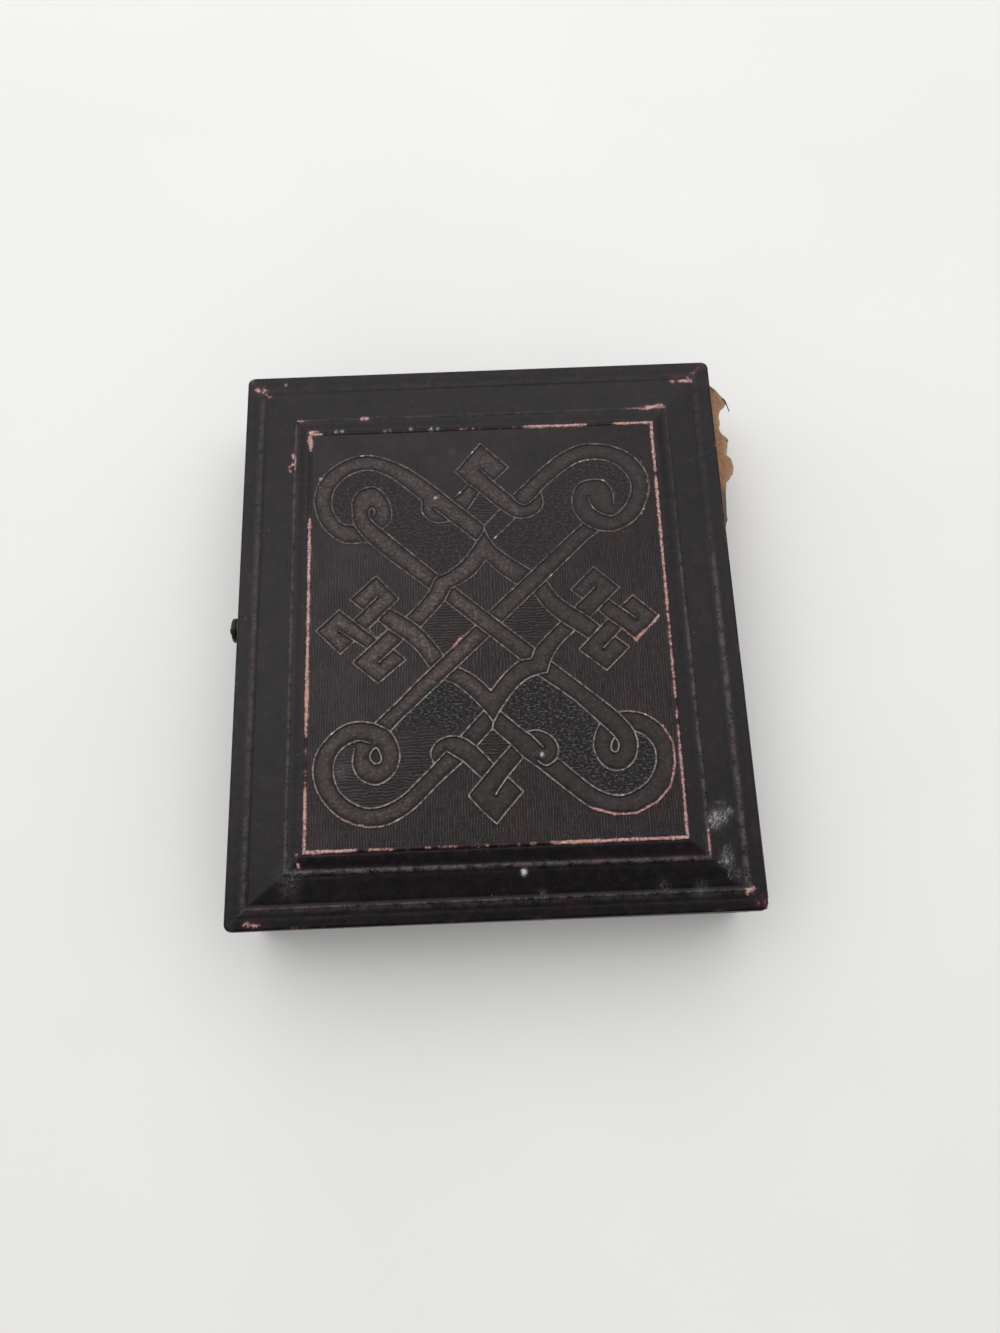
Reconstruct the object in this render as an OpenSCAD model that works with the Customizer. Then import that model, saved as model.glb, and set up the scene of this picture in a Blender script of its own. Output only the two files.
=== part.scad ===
// Hinged keepsake case for a small photographic plate: two shallow wooden
// covers under embossed leather, a leather spine, a swinging hook clasp, and a
// glazed plate packet held in the lower cover by a velvet strip.
// Millimetres, +Z up. The origin is the centre of the raised panel that the
// closed case rests on; the hook side is -X and the spine side is +X.

/* [Case] */
// Outside width of the closed case, hook side to spine side
case_w = 79.4; // [79:0.1:80]
// Outside length of the closed case along the spine
case_l = 92.1; // [91.8:0.1:93]
// Thickness of the closed case over the two raised panels
case_t = 19; // [18.6:0.1:20]
// Radius of the four upright corners
corner_r = 1.2; // [0.8:0.1:2]
// Thickness of the leather covering
leather_t = 0.5; // [0.4:0.05:0.6]

/* [Cover moulding] */
// Distance from the outside edge to the start of the bevel
bevel_in = 3.0; // [2.2:0.1:3]
// Distance from the outside edge to the top of the bevel
bevel_out = 8.2; // [7:0.1:8.5]
// Distance from the outside edge to the raised panel
panel_in = 10.7; // [9.6:0.1:11]
// How far the flat outer band lies below the raised panel
band_drop = 1.3; // [1.2:0.05:1.8]
// How far the top of the bevel lies below the raised panel
bevel_drop = 0.6; // [0.4:0.05:1]
// Height of the fine beads along the bevel
bead_h = 0.22; // [0.1:0.02:0.4]

/* [Wood] */
// Height of the cover boards' inside face above the outermost panel face
board_in = 3.2; // [3:0.05:3.4]
// Thickness of the lower cover's rails
tray_rail_t = 2.3; // [2.2:0.05:2.4]
// Thickness of the lid's rails
lid_rail_t = 2.0; // [1.8:0.05:2.0]

/* [Velvet strip] */
// Thickness of the velvet strip that grips the packet
strip_t = 1.0; // [0.8:0.05:1.05]
// How far the strip stands above the lower cover's rim
strip_up = 2.2; // [1.4:0.1:2.3]

/* [Plate packet] */
// Width of the image plate
plate_w = 69.9; // [69.5:0.1:70]
// Length of the image plate
plate_l = 82.6; // [82:0.1:82.8]
// Thickness of the image plate
plate_t = 0.5; // [0.4:0.05:0.55]
// Thickness of the brass mat
mat_t = 0.3; // [0.2:0.05:0.3]
// Thickness of the cover glass
glass_t = 1.6; // [1.3:0.05:1.6]
// Width of the oval opening in the mat
oval_w = 50; // [44:1:54]
// Length of the oval opening in the mat
oval_l = 62; // [56:1:66]

/* [Pad] */
// Thickness of the lid pad at its edges
pad_edge_t = 1.8; // [1.4:0.1:2]
// How far the pad is crowned below its edges
pad_crown = 1.9; // [1.2:0.1:2]

/* [Clasp] */
// Position of the clasp along the hook side
clasp_y = 1.5; // [-6:0.5:6]
// Height of the hook's rivet
rivet_z = 13.3; // [12.8:0.1:13.8]
// Height of the catch stud
stud_z = 5.9; // [5.6:0.1:6.2]
// Radius of the rivet and of the catch stud
rivet_r = 0.6; // [0.5:0.05:0.65]
// Angle between the latched hook and the hook as shown, swung just clear
hook_clear = 24; // [22:1:30]

/* [Hidden] */

parting = case_t / 2;
hw = case_w / 2;
hl = case_l / 2;
wood_w = hw - leather_t;
wood_l = hl - leather_t;
// Inside faces of the rails
tray_x = wood_w - tray_rail_t;
tray_y = wood_l - tray_rail_t;
lid_x = wood_w - lid_rail_t;
lid_y = wood_l - lid_rail_t;
// The two rims stay this far from the parting plane
rim_gap = 0.06;
tray_rim = parting - rim_gap;
lid_rim = parting + rim_gap;
lid_in = case_t - board_in;
// The folded inside hinge
hinge_t = 0.25;
fold_gap = 0.3;
// The spine strip
spine_t = 0.45;
spine_z0 = 2.9;
axis_x = hw + spine_t + 0.1;
// Packet levels
lining_t = 0.15;
tape_t = 0.15;
foil_t = 0.2;
foil_lap = 3.2;
z_lining = board_in;
z_foil = z_lining + lining_t;
z_plate = z_foil + foil_t;
z_mat = z_plate + plate_t;
z_glass = z_mat + mat_t;
z_glass_top = z_glass + glass_t;
z_foil_top = z_glass_top + foil_t;
// Pad levels
card_t = 0.7;
pad_gap = 0.9;
// Clasp levels, outwards from the leather on the hook side
washer_t = 0.4;
run = 0.08;
hook_t = 0.7;
x_wall = -hw;
x_washer = x_wall - washer_t;
x_hook = x_washer - run;
x_head = x_hook - hook_t - run;
hook_reach = rivet_z - stud_z;
hook_eye_r = 1.9;
arm_w = 1.3;
jaw_r = rivet_r + 0.25;

wood = [0.63, 0.47, 0.30];
leather = [0.14, 0.11, 0.12];
velvet = [0.36, 0.07, 0.09];
dark_brass = [0.23, 0.19, 0.13];
gilt_brass = [0.80, 0.63, 0.31];

// A slab with round upright corners
module rslab(w, l, r, z0, z1) {
    translate([0, 0, z0]) linear_extrude(height = z1 - z0) union() {
        square([w, l - 2 * r], center = true);
        square([w - 2 * r, l], center = true);
        for (sx = [-1, 1], sy = [-1, 1])
            translate([sx * (w / 2 - r), sy * (l / 2 - r)]) circle(r = r, $fn = 32);
    }
}

// A square-cornered slab, low corner to high corner
module slab(x0, y0, z0, x1, y1, z1) {
    translate([x0, y0, z0]) cube([x1 - x0, y1 - y0, z1 - z0]);
}

// A mitred bevel from one rectangle up to a smaller one
module bevel(w1, l1, z1, w2, l2, z2) {
    polyhedron(
        points = [for (k = [[w1, l1, z1], [w2, l2, z2]])
                  for (c = [[-1, -1], [1, -1], [1, 1], [-1, 1]])
                      [c[0] * k[0] / 2, c[1] * k[1] / 2, k[2]]],
        faces = [[0, 1, 2, 3], [4, 5, 1, 0], [7, 6, 5, 4],
                 [5, 6, 2, 1], [6, 7, 3, 2], [7, 4, 0, 3]]);
}

// The moulded cover shape: flat band, wide bevel, steep band, raised panel
module moulding(top, base, grow) {
    w = case_w + 2 * grow;
    l = case_l + 2 * grow;
    band = top - band_drop;
    rslab(w, l, max(corner_r + grow, 0.3), base, band);
    bevel(case_w - 2 * bevel_in, case_l - 2 * bevel_in, band - 0.2,
          case_w - 2 * bevel_out, case_l - 2 * bevel_out, top - bevel_drop);
    bevel(case_w - 2 * bevel_out - 0.4, case_l - 2 * bevel_out - 0.4, top - bevel_drop - 0.3,
          case_w - 2 * panel_in, case_l - 2 * panel_in, top);
}

// A fine bead running round a cover
module bead(inset, width, z0, z1) {
    difference() {
        rslab(case_w - 2 * inset, case_l - 2 * inset, 0.4, z0, z1);
        rslab(case_w - 2 * inset - 2 * width, case_l - 2 * inset - 2 * width, 0.3, z0 - 1, z1 + 1);
    }
}

// The embossed covering leather of the upper cover
module cover_skin() {
    difference() {
        union() {
            moulding(case_t, case_t - band_drop - leather_t, 0);
            bead(bevel_in - 0.9, 0.35, case_t - band_drop - 0.1, case_t - band_drop + bead_h);
            bead(bevel_in - 0.1, 0.35, case_t - band_drop - 0.1, case_t - band_drop + bead_h);
            bead(bevel_out, 0.45, case_t - bevel_drop - 0.2, case_t - bevel_drop + bead_h);
        }
        moulding(case_t - leather_t, case_t - band_drop - leather_t - 3, 1);
    }
}

// The wooden board under it, flat inside
module cover_board() {
    moulding(case_t - leather_t, lid_in, -leather_t);
}

// The same shape at the bottom of the case
module to_tray() {
    translate([0, 0, case_t]) mirror([0, 0, 1]) children();
}

// Plain leather round the four sides of a cover
module side_skin(z0, z1) {
    difference() {
        rslab(case_w, case_l, corner_r, z0, z1);
        rslab(case_w - 2 * leather_t, case_l - 2 * leather_t, corner_r - leather_t, z0 - 1, z1 + 1);
    }
}

// The blind hole in the hook side that a clasp pin is driven into
module pin_hole(z, shank_in) {
    translate([x_wall - 2, clasp_y, z]) rotate([0, 90, 0])
        cylinder(r = rivet_r, h = 2 + hw - shank_in, $fn = 32);
}

module tray_board() { color(wood) to_tray() cover_board(); }

// The head and foot rails run the full width; the side rails fit between them
module tray_rail_hook_side() {
    color(wood) difference() {
        slab(-wood_w, -tray_y, board_in, -tray_x, tray_y, tray_rim);
        pin_hole(stud_z, tray_x + 0.1);
    }
}
module tray_rail_spine_side() {
    color(wood) slab(tray_x, -tray_y, board_in, wood_w, tray_y, parting - fold_gap);
}
module end_rail(inner, z0, z1) {
    difference() {
        rslab(2 * wood_w, 2 * wood_l, corner_r - leather_t, z0, z1);
        slab(-hw, -hl, z0 - 1, hw, inner, z1 + 1);
    }
}
module tray_rail_head() { color(wood) end_rail(tray_y, board_in, tray_rim); }
module tray_rail_foot() {
    color(wood) mirror([0, 1, 0]) end_rail(tray_y, board_in, tray_rim);
}

module tray_cover_leather() { color(leather) to_tray() cover_skin(); }
module tray_side_leather() {
    color(leather) difference() {
        side_skin(band_drop + leather_t, tray_rim);
        pin_hole(stud_z, tray_x + 0.1);
        slab(hw - 1.5, -tray_y, parting - fold_gap, hw + 1, tray_y, parting + 1);
    }
}

// The strip stands on the lining and rises past the rim into the lid
module velvet_strip() {
    color(velvet) difference() {
        slab(-tray_x, -tray_y, z_foil, tray_x - hinge_t, tray_y, parting + strip_up);
        slab(-tray_x + strip_t, -tray_y + strip_t, z_foil - 1,
             tray_x - hinge_t - strip_t, tray_y - strip_t, parting + strip_up + 1);
    }
}

module tray_lining_paper() {
    color([0.72, 0.66, 0.52])
        slab(-tray_x, -tray_y, z_lining, tray_x, tray_y, z_foil);
}

module image_plate() {
    color([0.66, 0.67, 0.70])
        slab(-plate_w / 2, -plate_l / 2, z_plate, plate_w / 2, plate_l / 2, z_mat);
}

// Pressed brass mat with an oval window
module brass_mat() {
    color(gilt_brass) translate([0, 0, z_mat]) linear_extrude(height = mat_t) difference() {
        square([plate_w, plate_l], center = true);
        polygon([for (i = [0:71]) [oval_w / 2 * cos(i * 5), oval_l / 2 * sin(i * 5)]]);
    }
}

module cover_glass() {
    color([0.80, 0.88, 0.86, 0.35])
        slab(-plate_w / 2, -plate_l / 2, z_glass, plate_w / 2, plate_l / 2, z_glass_top);
}

// Paper tape sealing the packet's edges
module sealing_tape() {
    color([0.80, 0.74, 0.60]) difference() {
        slab(-plate_w / 2 - tape_t, -plate_l / 2 - tape_t, z_plate,
             plate_w / 2 + tape_t, plate_l / 2 + tape_t, z_glass_top);
        slab(-plate_w / 2, -plate_l / 2, z_plate - 1, plate_w / 2, plate_l / 2, z_glass_top + 1);
    }
}

// Thin brass foil folded round the packet, front and back
module preserver_frame() {
    fw = plate_w / 2 + tape_t;
    fl = plate_l / 2 + tape_t;
    color(gilt_brass) difference() {
        slab(-fw - foil_t, -fl - foil_t, z_foil, fw + foil_t, fl + foil_t, z_foil_top);
        slab(-fw, -fl, z_plate, fw, fl, z_glass_top);
        slab(-fw + foil_lap, -fl + foil_lap, z_foil - 1, fw - foil_lap, fl - foil_lap, z_foil_top + 1);
    }
}

module stud_washer() {
    color(dark_brass) translate([x_wall, clasp_y, stud_z]) rotate([0, -90, 0]) difference() {
        cylinder(r = 1.7, h = washer_t, $fn = 48);
        translate([0, 0, -1]) cylinder(r = rivet_r, h = 3, $fn = 32);
    }
}

// Shank through the wall with a small round head
module headed_pin(z, shank_in, head_r, head_t) {
    translate([0, clasp_y, z]) rotate([0, -90, 0]) {
        translate([0, 0, shank_in]) cylinder(r = rivet_r, h = -x_head - shank_in, $fn = 32);
        translate([0, 0, -x_head]) cylinder(r = head_r, h = head_t * 0.45, $fn = 48);
        translate([0, 0, -x_head + head_t * 0.45])
            cylinder(r1 = head_r, r2 = head_r * 0.5, h = head_t * 0.55, $fn = 48);
    }
}
module catch_stud() { color(dark_brass) headed_pin(stud_z, tray_x + 0.1, 1.05, 0.6); }
module hook_rivet() { color(dark_brass) headed_pin(rivet_z, lid_x + 0.1, 1.35, 0.9); }

// Leather strip glued outside across the two covers
module spine_leather() {
    color([0.17, 0.12, 0.11])
        slab(hw, -hl + 1.8, spine_z0, hw + spine_t, hl - 1.8, case_t - spine_z0);
}

// Inside strip: down each rail's inside face and folded between the two rims
module inner_hinge() {
    y1 = tray_y - 1.2;
    color([0.22, 0.10, 0.10]) union() {
        slab(tray_x - hinge_t, -y1, parting - 4, tray_x, y1, parting - fold_gap + hinge_t);
        slab(tray_x - hinge_t, -y1, parting - fold_gap, wood_w + 0.1, y1, parting - 0.01);
        slab(wood_w - 0.2, -y1, parting - 0.1, wood_w + 0.1, y1, parting + 0.1);
        slab(lid_x - hinge_t, -y1, parting + 0.01, wood_w + 0.1, y1, parting + fold_gap);
        slab(lid_x - hinge_t, -y1, parting + fold_gap - hinge_t, lid_x, y1, parting + 3.4);
    }
}

module lid_board() { color(wood) cover_board(); }
module lid_rail_hook_side() {
    color(wood) difference() {
        slab(-wood_w, -lid_y, lid_rim, -lid_x, lid_y, lid_in);
        pin_hole(rivet_z, lid_x + 0.1);
    }
}
module lid_rail_spine_side() {
    color(wood) slab(lid_x, -lid_y, parting + fold_gap, wood_w, lid_y, lid_in);
}
module lid_rail_head() { color(wood) end_rail(lid_y, lid_rim, lid_in); }
module lid_rail_foot() {
    color(wood) mirror([0, 1, 0]) end_rail(lid_y, lid_rim, lid_in);
}
module lid_cover_leather() { color(leather) cover_skin(); }
module lid_side_leather() {
    color(leather) difference() {
        side_skin(lid_rim, case_t - band_drop - leather_t);
        pin_hole(rivet_z, lid_x + 0.1);
        slab(hw - 1.5, -lid_y, parting - 1, hw + 1, lid_y, parting + fold_gap);
    }
}

module pad_card() {
    color([0.66, 0.60, 0.47])
        slab(-lid_x + 0.5, -lid_y + 0.5, lid_in - card_t, lid_x - 0.8, lid_y - 0.5, lid_in);
}

// Crowned pad on the card, thinner at its edges
module velvet_pad() {
    pw = 2 * (lid_x - pad_gap);
    pl = 2 * (lid_y - pad_gap);
    z1 = lid_in - card_t;
    color(velvet) union() {
        rslab(pw, pl, 1.5, z1 - pad_edge_t, z1);
        mirror([0, 0, 1])
            bevel(pw - 7, pl - 7, -z1 + 0.4, pw - 26, pl - 26, -z1 + pad_edge_t + pad_crown);
    }
}

module hook_washer() {
    color(dark_brass) translate([x_wall, clasp_y, rivet_z]) rotate([0, -90, 0]) difference() {
        cylinder(r = 2.1, h = washer_t, $fn = 48);
        translate([0, 0, -1]) cylinder(r = rivet_r, h = 3, $fn = 32);
    }
}

// Flat hook: an eye on the rivet, a narrow arm, and a jaw that closes under
// the stud. Drawn latched about the rivet's axis, then swung clear. The jaw is
// a sector round the rivet, so that it can slide under the stud.
function polar(r, a) = [-r * cos(a), r * sin(a)];
module hook_arm() {
    ri = hook_reach + jaw_r;
    ro = ri + 1.15;
    linear_extrude(height = hook_t) polygon(concat(
        [[-0.9, jaw_r], [-3.2, jaw_r], [-hook_reach, jaw_r], polar(ri - 0.15, 6.4)],
        [for (a = [5:-1:-8]) polar(ri, a)],
        [polar(ri + 0.25, -9.4), polar((ri + ro) / 2, -10), polar(ro - 0.25, -9.4)],
        [for (a = [-8:1:12]) polar(ro, a)],
        [polar(ro - 0.5, 14.2), [-hook_reach + 0.4, jaw_r + arm_w],
         [-3.0, jaw_r + arm_w + 0.1], [-0.4, 1.4]]));
}
module hook() {
    color(dark_brass) translate([x_hook, clasp_y, rivet_z]) rotate([hook_clear, 0, 0])
        rotate([0, -90, 0]) difference() {
            union() {
                cylinder(r = hook_eye_r, h = hook_t, $fn = 48);
                hook_arm();
            }
            translate([0, 0, -1]) cylinder(r = rivet_r + 0.05, h = 3, $fn = 32);
        }
}

tray_board();
tray_rail_hook_side();
tray_rail_spine_side();
tray_rail_head();
tray_rail_foot();
tray_cover_leather();
tray_side_leather();
velvet_strip();
tray_lining_paper();
image_plate();
brass_mat();
cover_glass();
sealing_tape();
preserver_frame();
stud_washer();
catch_stud();
spine_leather();
inner_hinge();
lid_board();
lid_rail_hook_side();
lid_rail_spine_side();
lid_rail_head();
lid_rail_foot();
lid_cover_leather();
lid_side_leather();
pad_card();
velvet_pad();
hook_washer();
hook_rivet();
hook();
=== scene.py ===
import math
import bpy
import numpy as np
from mathutils import Matrix


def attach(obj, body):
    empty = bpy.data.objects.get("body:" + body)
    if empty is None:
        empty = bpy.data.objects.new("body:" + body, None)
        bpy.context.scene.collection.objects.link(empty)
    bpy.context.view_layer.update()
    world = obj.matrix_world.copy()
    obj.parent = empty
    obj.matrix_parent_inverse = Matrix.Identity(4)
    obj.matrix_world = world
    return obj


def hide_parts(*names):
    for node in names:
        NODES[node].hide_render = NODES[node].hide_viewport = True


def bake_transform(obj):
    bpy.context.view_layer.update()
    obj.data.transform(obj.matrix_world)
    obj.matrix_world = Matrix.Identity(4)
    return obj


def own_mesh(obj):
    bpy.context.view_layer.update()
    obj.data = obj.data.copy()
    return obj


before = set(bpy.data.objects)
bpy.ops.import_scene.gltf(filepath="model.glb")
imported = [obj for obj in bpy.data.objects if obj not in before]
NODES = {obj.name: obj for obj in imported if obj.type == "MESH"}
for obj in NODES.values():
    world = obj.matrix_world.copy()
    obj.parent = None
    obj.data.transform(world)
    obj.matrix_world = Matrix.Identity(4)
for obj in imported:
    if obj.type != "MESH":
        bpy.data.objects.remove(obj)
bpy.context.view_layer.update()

MM = 0.001

# ---------------------------------------------------------------- camera
def rot(axis, deg):
    return Matrix.Rotation(math.radians(deg), 4, axis)

view = Matrix.Translation((-0.0019334619, 0.0068102104, -0.1433072550)) @ (
    rot("Z", 2.1635084421) @ rot("Y", 0.3551915087) @ rot("X", -15.7858581664))
cam_data = bpy.data.cameras.new("camera")
cam_data.lens = 36 * 900 / 1333
cam_data.sensor_width = 36.0
cam_data.clip_start = 0.005
cam_data.clip_end = 20.0
cam = bpy.data.objects.new("camera", cam_data)
bpy.context.scene.collection.objects.link(cam)
cam.matrix_world = Matrix.Translation((0, -0.00035, 0.0177)) @ view.inverted()
bpy.context.scene.camera = cam

# ---------------------------------------------------------------- mesh helpers
def mesh_obj(name, V, faces, smooth=True, attrs=None):
    """V in millimetres; faces is a list of index arrays with 3 or 4 columns"""
    V = np.asarray(V, np.float32) * MM
    me = bpy.data.meshes.new(name)
    me.vertices.add(len(V))
    me.vertices.foreach_set("co", V.ravel())
    faces = [np.asarray(f, np.int32) for f in faces if len(f)]
    loops = np.concatenate([f.ravel() for f in faces])
    totals = np.concatenate([np.full(len(f), f.shape[1]) for f in faces])
    starts = np.concatenate([[0], np.cumsum(totals)[:-1]]).astype(np.int32)
    me.loops.add(len(loops))
    me.loops.foreach_set("vertex_index", loops)
    me.polygons.add(len(totals))
    me.polygons.foreach_set("loop_start", starts)
    me.polygons.foreach_set("use_smooth", np.full(len(totals), smooth))
    me.update(calc_edges=True)
    me.validate()
    for k, a in (attrs or {}).items():
        me.attributes.new(k, "FLOAT", "POINT").data.foreach_set(
            "value", np.asarray(a, np.float32).ravel())
    ob = bpy.data.objects.new(name, me)
    bpy.context.scene.collection.objects.link(ob)
    return ob

def join(parts):
    """[(V, faces)] -> one (V, faces)"""
    V, F, n = [], [], 0
    for v, fs in parts:
        V.append(np.asarray(v, float))
        F += [np.asarray(f) + n for f in fs if len(f)]
        n += len(v)
    return np.vstack(V), F

def sweep(rings, closed_u=True, closed_v=True, cap=False):
    """rings: array (stations, section, 3) -> (V, faces); the section runs the closed way round if closed_v"""
    R = np.asarray(rings, float)
    n, m = R.shape[:2]
    idx = np.arange(n * m).reshape(n, m)
    a = idx if closed_u else idx[:-1]
    b = np.roll(idx, -1, 0) if closed_u else idx[1:]
    if closed_v:
        a2, b2 = np.roll(a, -1, 1), np.roll(b, -1, 1)
    else:
        a, b, a2, b2 = a[:, :-1], b[:, :-1], a[:, 1:], b[:, 1:]
    F = [np.stack([a, b, b2, a2], -1).reshape(-1, 4)]
    V = R.reshape(-1, 3)
    if cap and not closed_u:
        c0, c1 = len(V), len(V) + 1
        V = np.vstack([V, R[0].mean(0), R[-1].mean(0)])
        k = np.arange(m)
        F.append(np.stack([np.full(m, c0), idx[0][k], idx[0][(k + 1) % m]], -1))
        F.append(np.stack([np.full(m, c1), idx[-1][(k + 1) % m], idx[-1][k]], -1))
    return V, F

def smoothstep(a, b, x):
    t = np.clip((np.asarray(x, float) - a) / (b - a), 0, 1)
    return t * t * (3 - 2 * t)

def _hash(ix, iy, seed):
    h = (ix.astype(np.int64) * 374761393 + iy.astype(np.int64) * 668265263 + seed * 1442695041) & 0xFFFFFFFF
    h = ((h ^ (h >> 13)) * 1274126177) & 0xFFFFFFFF
    h = h ^ (h >> 16)
    return (h & 0xFFFFFF) / float(0xFFFFFF)

def vnoise(x, y, size, seed=0):
    """smooth noise from 0 to 1 with blobs of about size"""
    x, y = np.broadcast_arrays(np.asarray(x, float) / size, np.asarray(y, float) / size)
    ix, iy = np.floor(x), np.floor(y)
    fx, fy = x - ix, y - iy
    fx, fy = fx * fx * (3 - 2 * fx), fy * fy * (3 - 2 * fy)
    a, b = _hash(ix, iy, seed), _hash(ix + 1, iy, seed)
    c, d = _hash(ix, iy + 1, seed), _hash(ix + 1, iy + 1, seed)
    return (a * (1 - fx) + b * fx) * (1 - fy) + (c * (1 - fx) + d * fx) * fy

def fbm(x, y, size, seed=0, octaves=3):
    s, w, t = 0, 1.0, 0
    for k in range(octaves):
        s = s + w * vnoise(x, y, size / 2 ** k, seed + 17 * k)
        t += w
        w *= 0.5
    return s / t

# ---------------------------------------------------------------- node helpers
class Nodes:
    """short calls for building one node material"""
    def __init__(self, name):
        self.mat = bpy.data.materials.new(name)
        self.mat.use_nodes = True
        self.t = self.mat.node_tree
        self.t.nodes.clear()
        self.out = self.t.nodes.new("ShaderNodeOutputMaterial")
        self.bsdf = self.t.nodes.new("ShaderNodeBsdfPrincipled")
        self.t.links.new(self.bsdf.outputs[0], self.out.inputs[0])
        tc = self.t.nodes.new("ShaderNodeTexCoord")
        self.P = self.vscale(tc.outputs["Object"], (1000, 1000, 1000))
    def put(self, sock, v):
        if hasattr(v, "links") or isinstance(v, bpy.types.NodeSocket):
            self.t.links.new(v, sock)
        elif isinstance(v, (tuple, list)) and sock.type == "RGBA" and len(v) == 3:
            sock.default_value = (*v, 1.0)
        else:
            sock.default_value = v
    def vscale(self, v, s):
        n = self.t.nodes.new("ShaderNodeVectorMath"); n.operation = "MULTIPLY"
        self.put(n.inputs[0], v); n.inputs[1].default_value = s
        return n.outputs[0]
    def vadd(self, v, w):
        n = self.t.nodes.new("ShaderNodeVectorMath"); n.operation = "ADD"
        self.put(n.inputs[0], v); self.put(n.inputs[1], w)
        return n.outputs[0]
    def sep(self, v=None):
        n = self.t.nodes.new("ShaderNodeSeparateXYZ")
        self.put(n.inputs[0], self.P if v is None else v)
        return n.outputs[0], n.outputs[1], n.outputs[2]
    def comb(self, x, y, z):
        n = self.t.nodes.new("ShaderNodeCombineXYZ")
        for s, v in zip(n.inputs, (x, y, z)):
            self.put(s, v)
        return n.outputs[0]
    def math(self, op, a, b=0.0, c=None, clamp=False):
        n = self.t.nodes.new("ShaderNodeMath"); n.operation = op; n.use_clamp = clamp
        self.put(n.inputs[0], a); self.put(n.inputs[1], b)
        if c is not None:
            self.put(n.inputs[2], c)
        return n.outputs[0]
    def mul(self, a, b): return self.math("MULTIPLY", a, b)
    def add(self, a, b): return self.math("ADD", a, b)
    def mad(self, a, b, c): return self.math("MULTIPLY_ADD", a, b, c)
    def mx(self, a, b): return self.math("MAXIMUM", a, b)
    def ss(self, x, lo, hi, a=0.0, b=1.0, kind="SMOOTHSTEP"):
        n = self.t.nodes.new("ShaderNodeMapRange"); n.interpolation_type = kind
        for s, v in zip(n.inputs, (x, lo, hi, a, b)):
            self.put(s, v)
        return n.outputs[0]
    def noise(self, scale, detail=2.0, rough=0.5, vec=None, dist=0.0, stretch=None):
        n = self.t.nodes.new("ShaderNodeTexNoise")
        v = self.P if vec is None else vec
        if stretch is not None:
            v = self.vscale(v, stretch)
        self.put(n.inputs["Vector"], v)
        n.inputs["Scale"].default_value = scale
        n.inputs["Detail"].default_value = detail
        n.inputs["Roughness"].default_value = rough
        n.inputs["Distortion"].default_value = dist
        return n.outputs[0]
    def voronoi(self, scale, vec=None, feature="F1", rnd=1.0, stretch=None):
        n = self.t.nodes.new("ShaderNodeTexVoronoi"); n.feature = feature
        v = self.P if vec is None else vec
        if stretch is not None:
            v = self.vscale(v, stretch)
        self.put(n.inputs["Vector"], v)
        n.inputs["Scale"].default_value = scale
        n.inputs["Randomness"].default_value = rnd
        return n.outputs["Distance"]
    def mix(self, f, a, b, kind="MIX"):
        n = self.t.nodes.new("ShaderNodeMix"); n.data_type = "RGBA"; n.blend_type = kind
        n.clamp_factor = True
        self.put(n.inputs[0], f); self.put(n.inputs[6], a); self.put(n.inputs[7], b)
        return n.outputs[2]
    def ramp(self, f, stops):
        n = self.t.nodes.new("ShaderNodeValToRGB")
        self.put(n.inputs[0], f)
        while len(n.color_ramp.elements) < len(stops):
            n.color_ramp.elements.new(0.5)
        for e, (p, c) in zip(n.color_ramp.elements, stops):
            e.position = p; e.color = (*c, 1.0)
        return n.outputs[0]
    def attr(self, name):
        n = self.t.nodes.new("ShaderNodeAttribute"); n.attribute_name = name
        return n.outputs["Fac"]
    def bump(self, h, dist, strength=1.0, normal=None):
        n = self.t.nodes.new("ShaderNodeBump")
        n.inputs["Strength"].default_value = strength
        n.inputs["Distance"].default_value = dist * MM
        self.put(n.inputs["Height"], h)
        if normal is not None:
            self.put(n.inputs["Normal"], normal)
        return n.outputs[0]
    def set(self, **kw):
        for k, v in kw.items():
            self.put(self.bsdf.inputs[k.replace("_", " ")], v)
        return self.mat

def paint(ob, mat):
    ob.data.materials.clear()
    ob.data.materials.append(mat)

def paint_node(name, mat):
    ob = NODES[name]
    if len(ob.material_slots) == 0:
        ob.data.materials.append(mat)
    for s in ob.material_slots:
        s.material = mat

def soften(name, width, segments=3, angle=30):
    """a fine rounded edge on a CAD node's look"""
    m = NODES[name].modifiers.new("soft_edges", "BEVEL")
    m.width = width * MM
    m.segments = segments
    m.limit_method = "ANGLE"
    m.angle_limit = math.radians(angle)
    m.harden_normals = True

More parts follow.
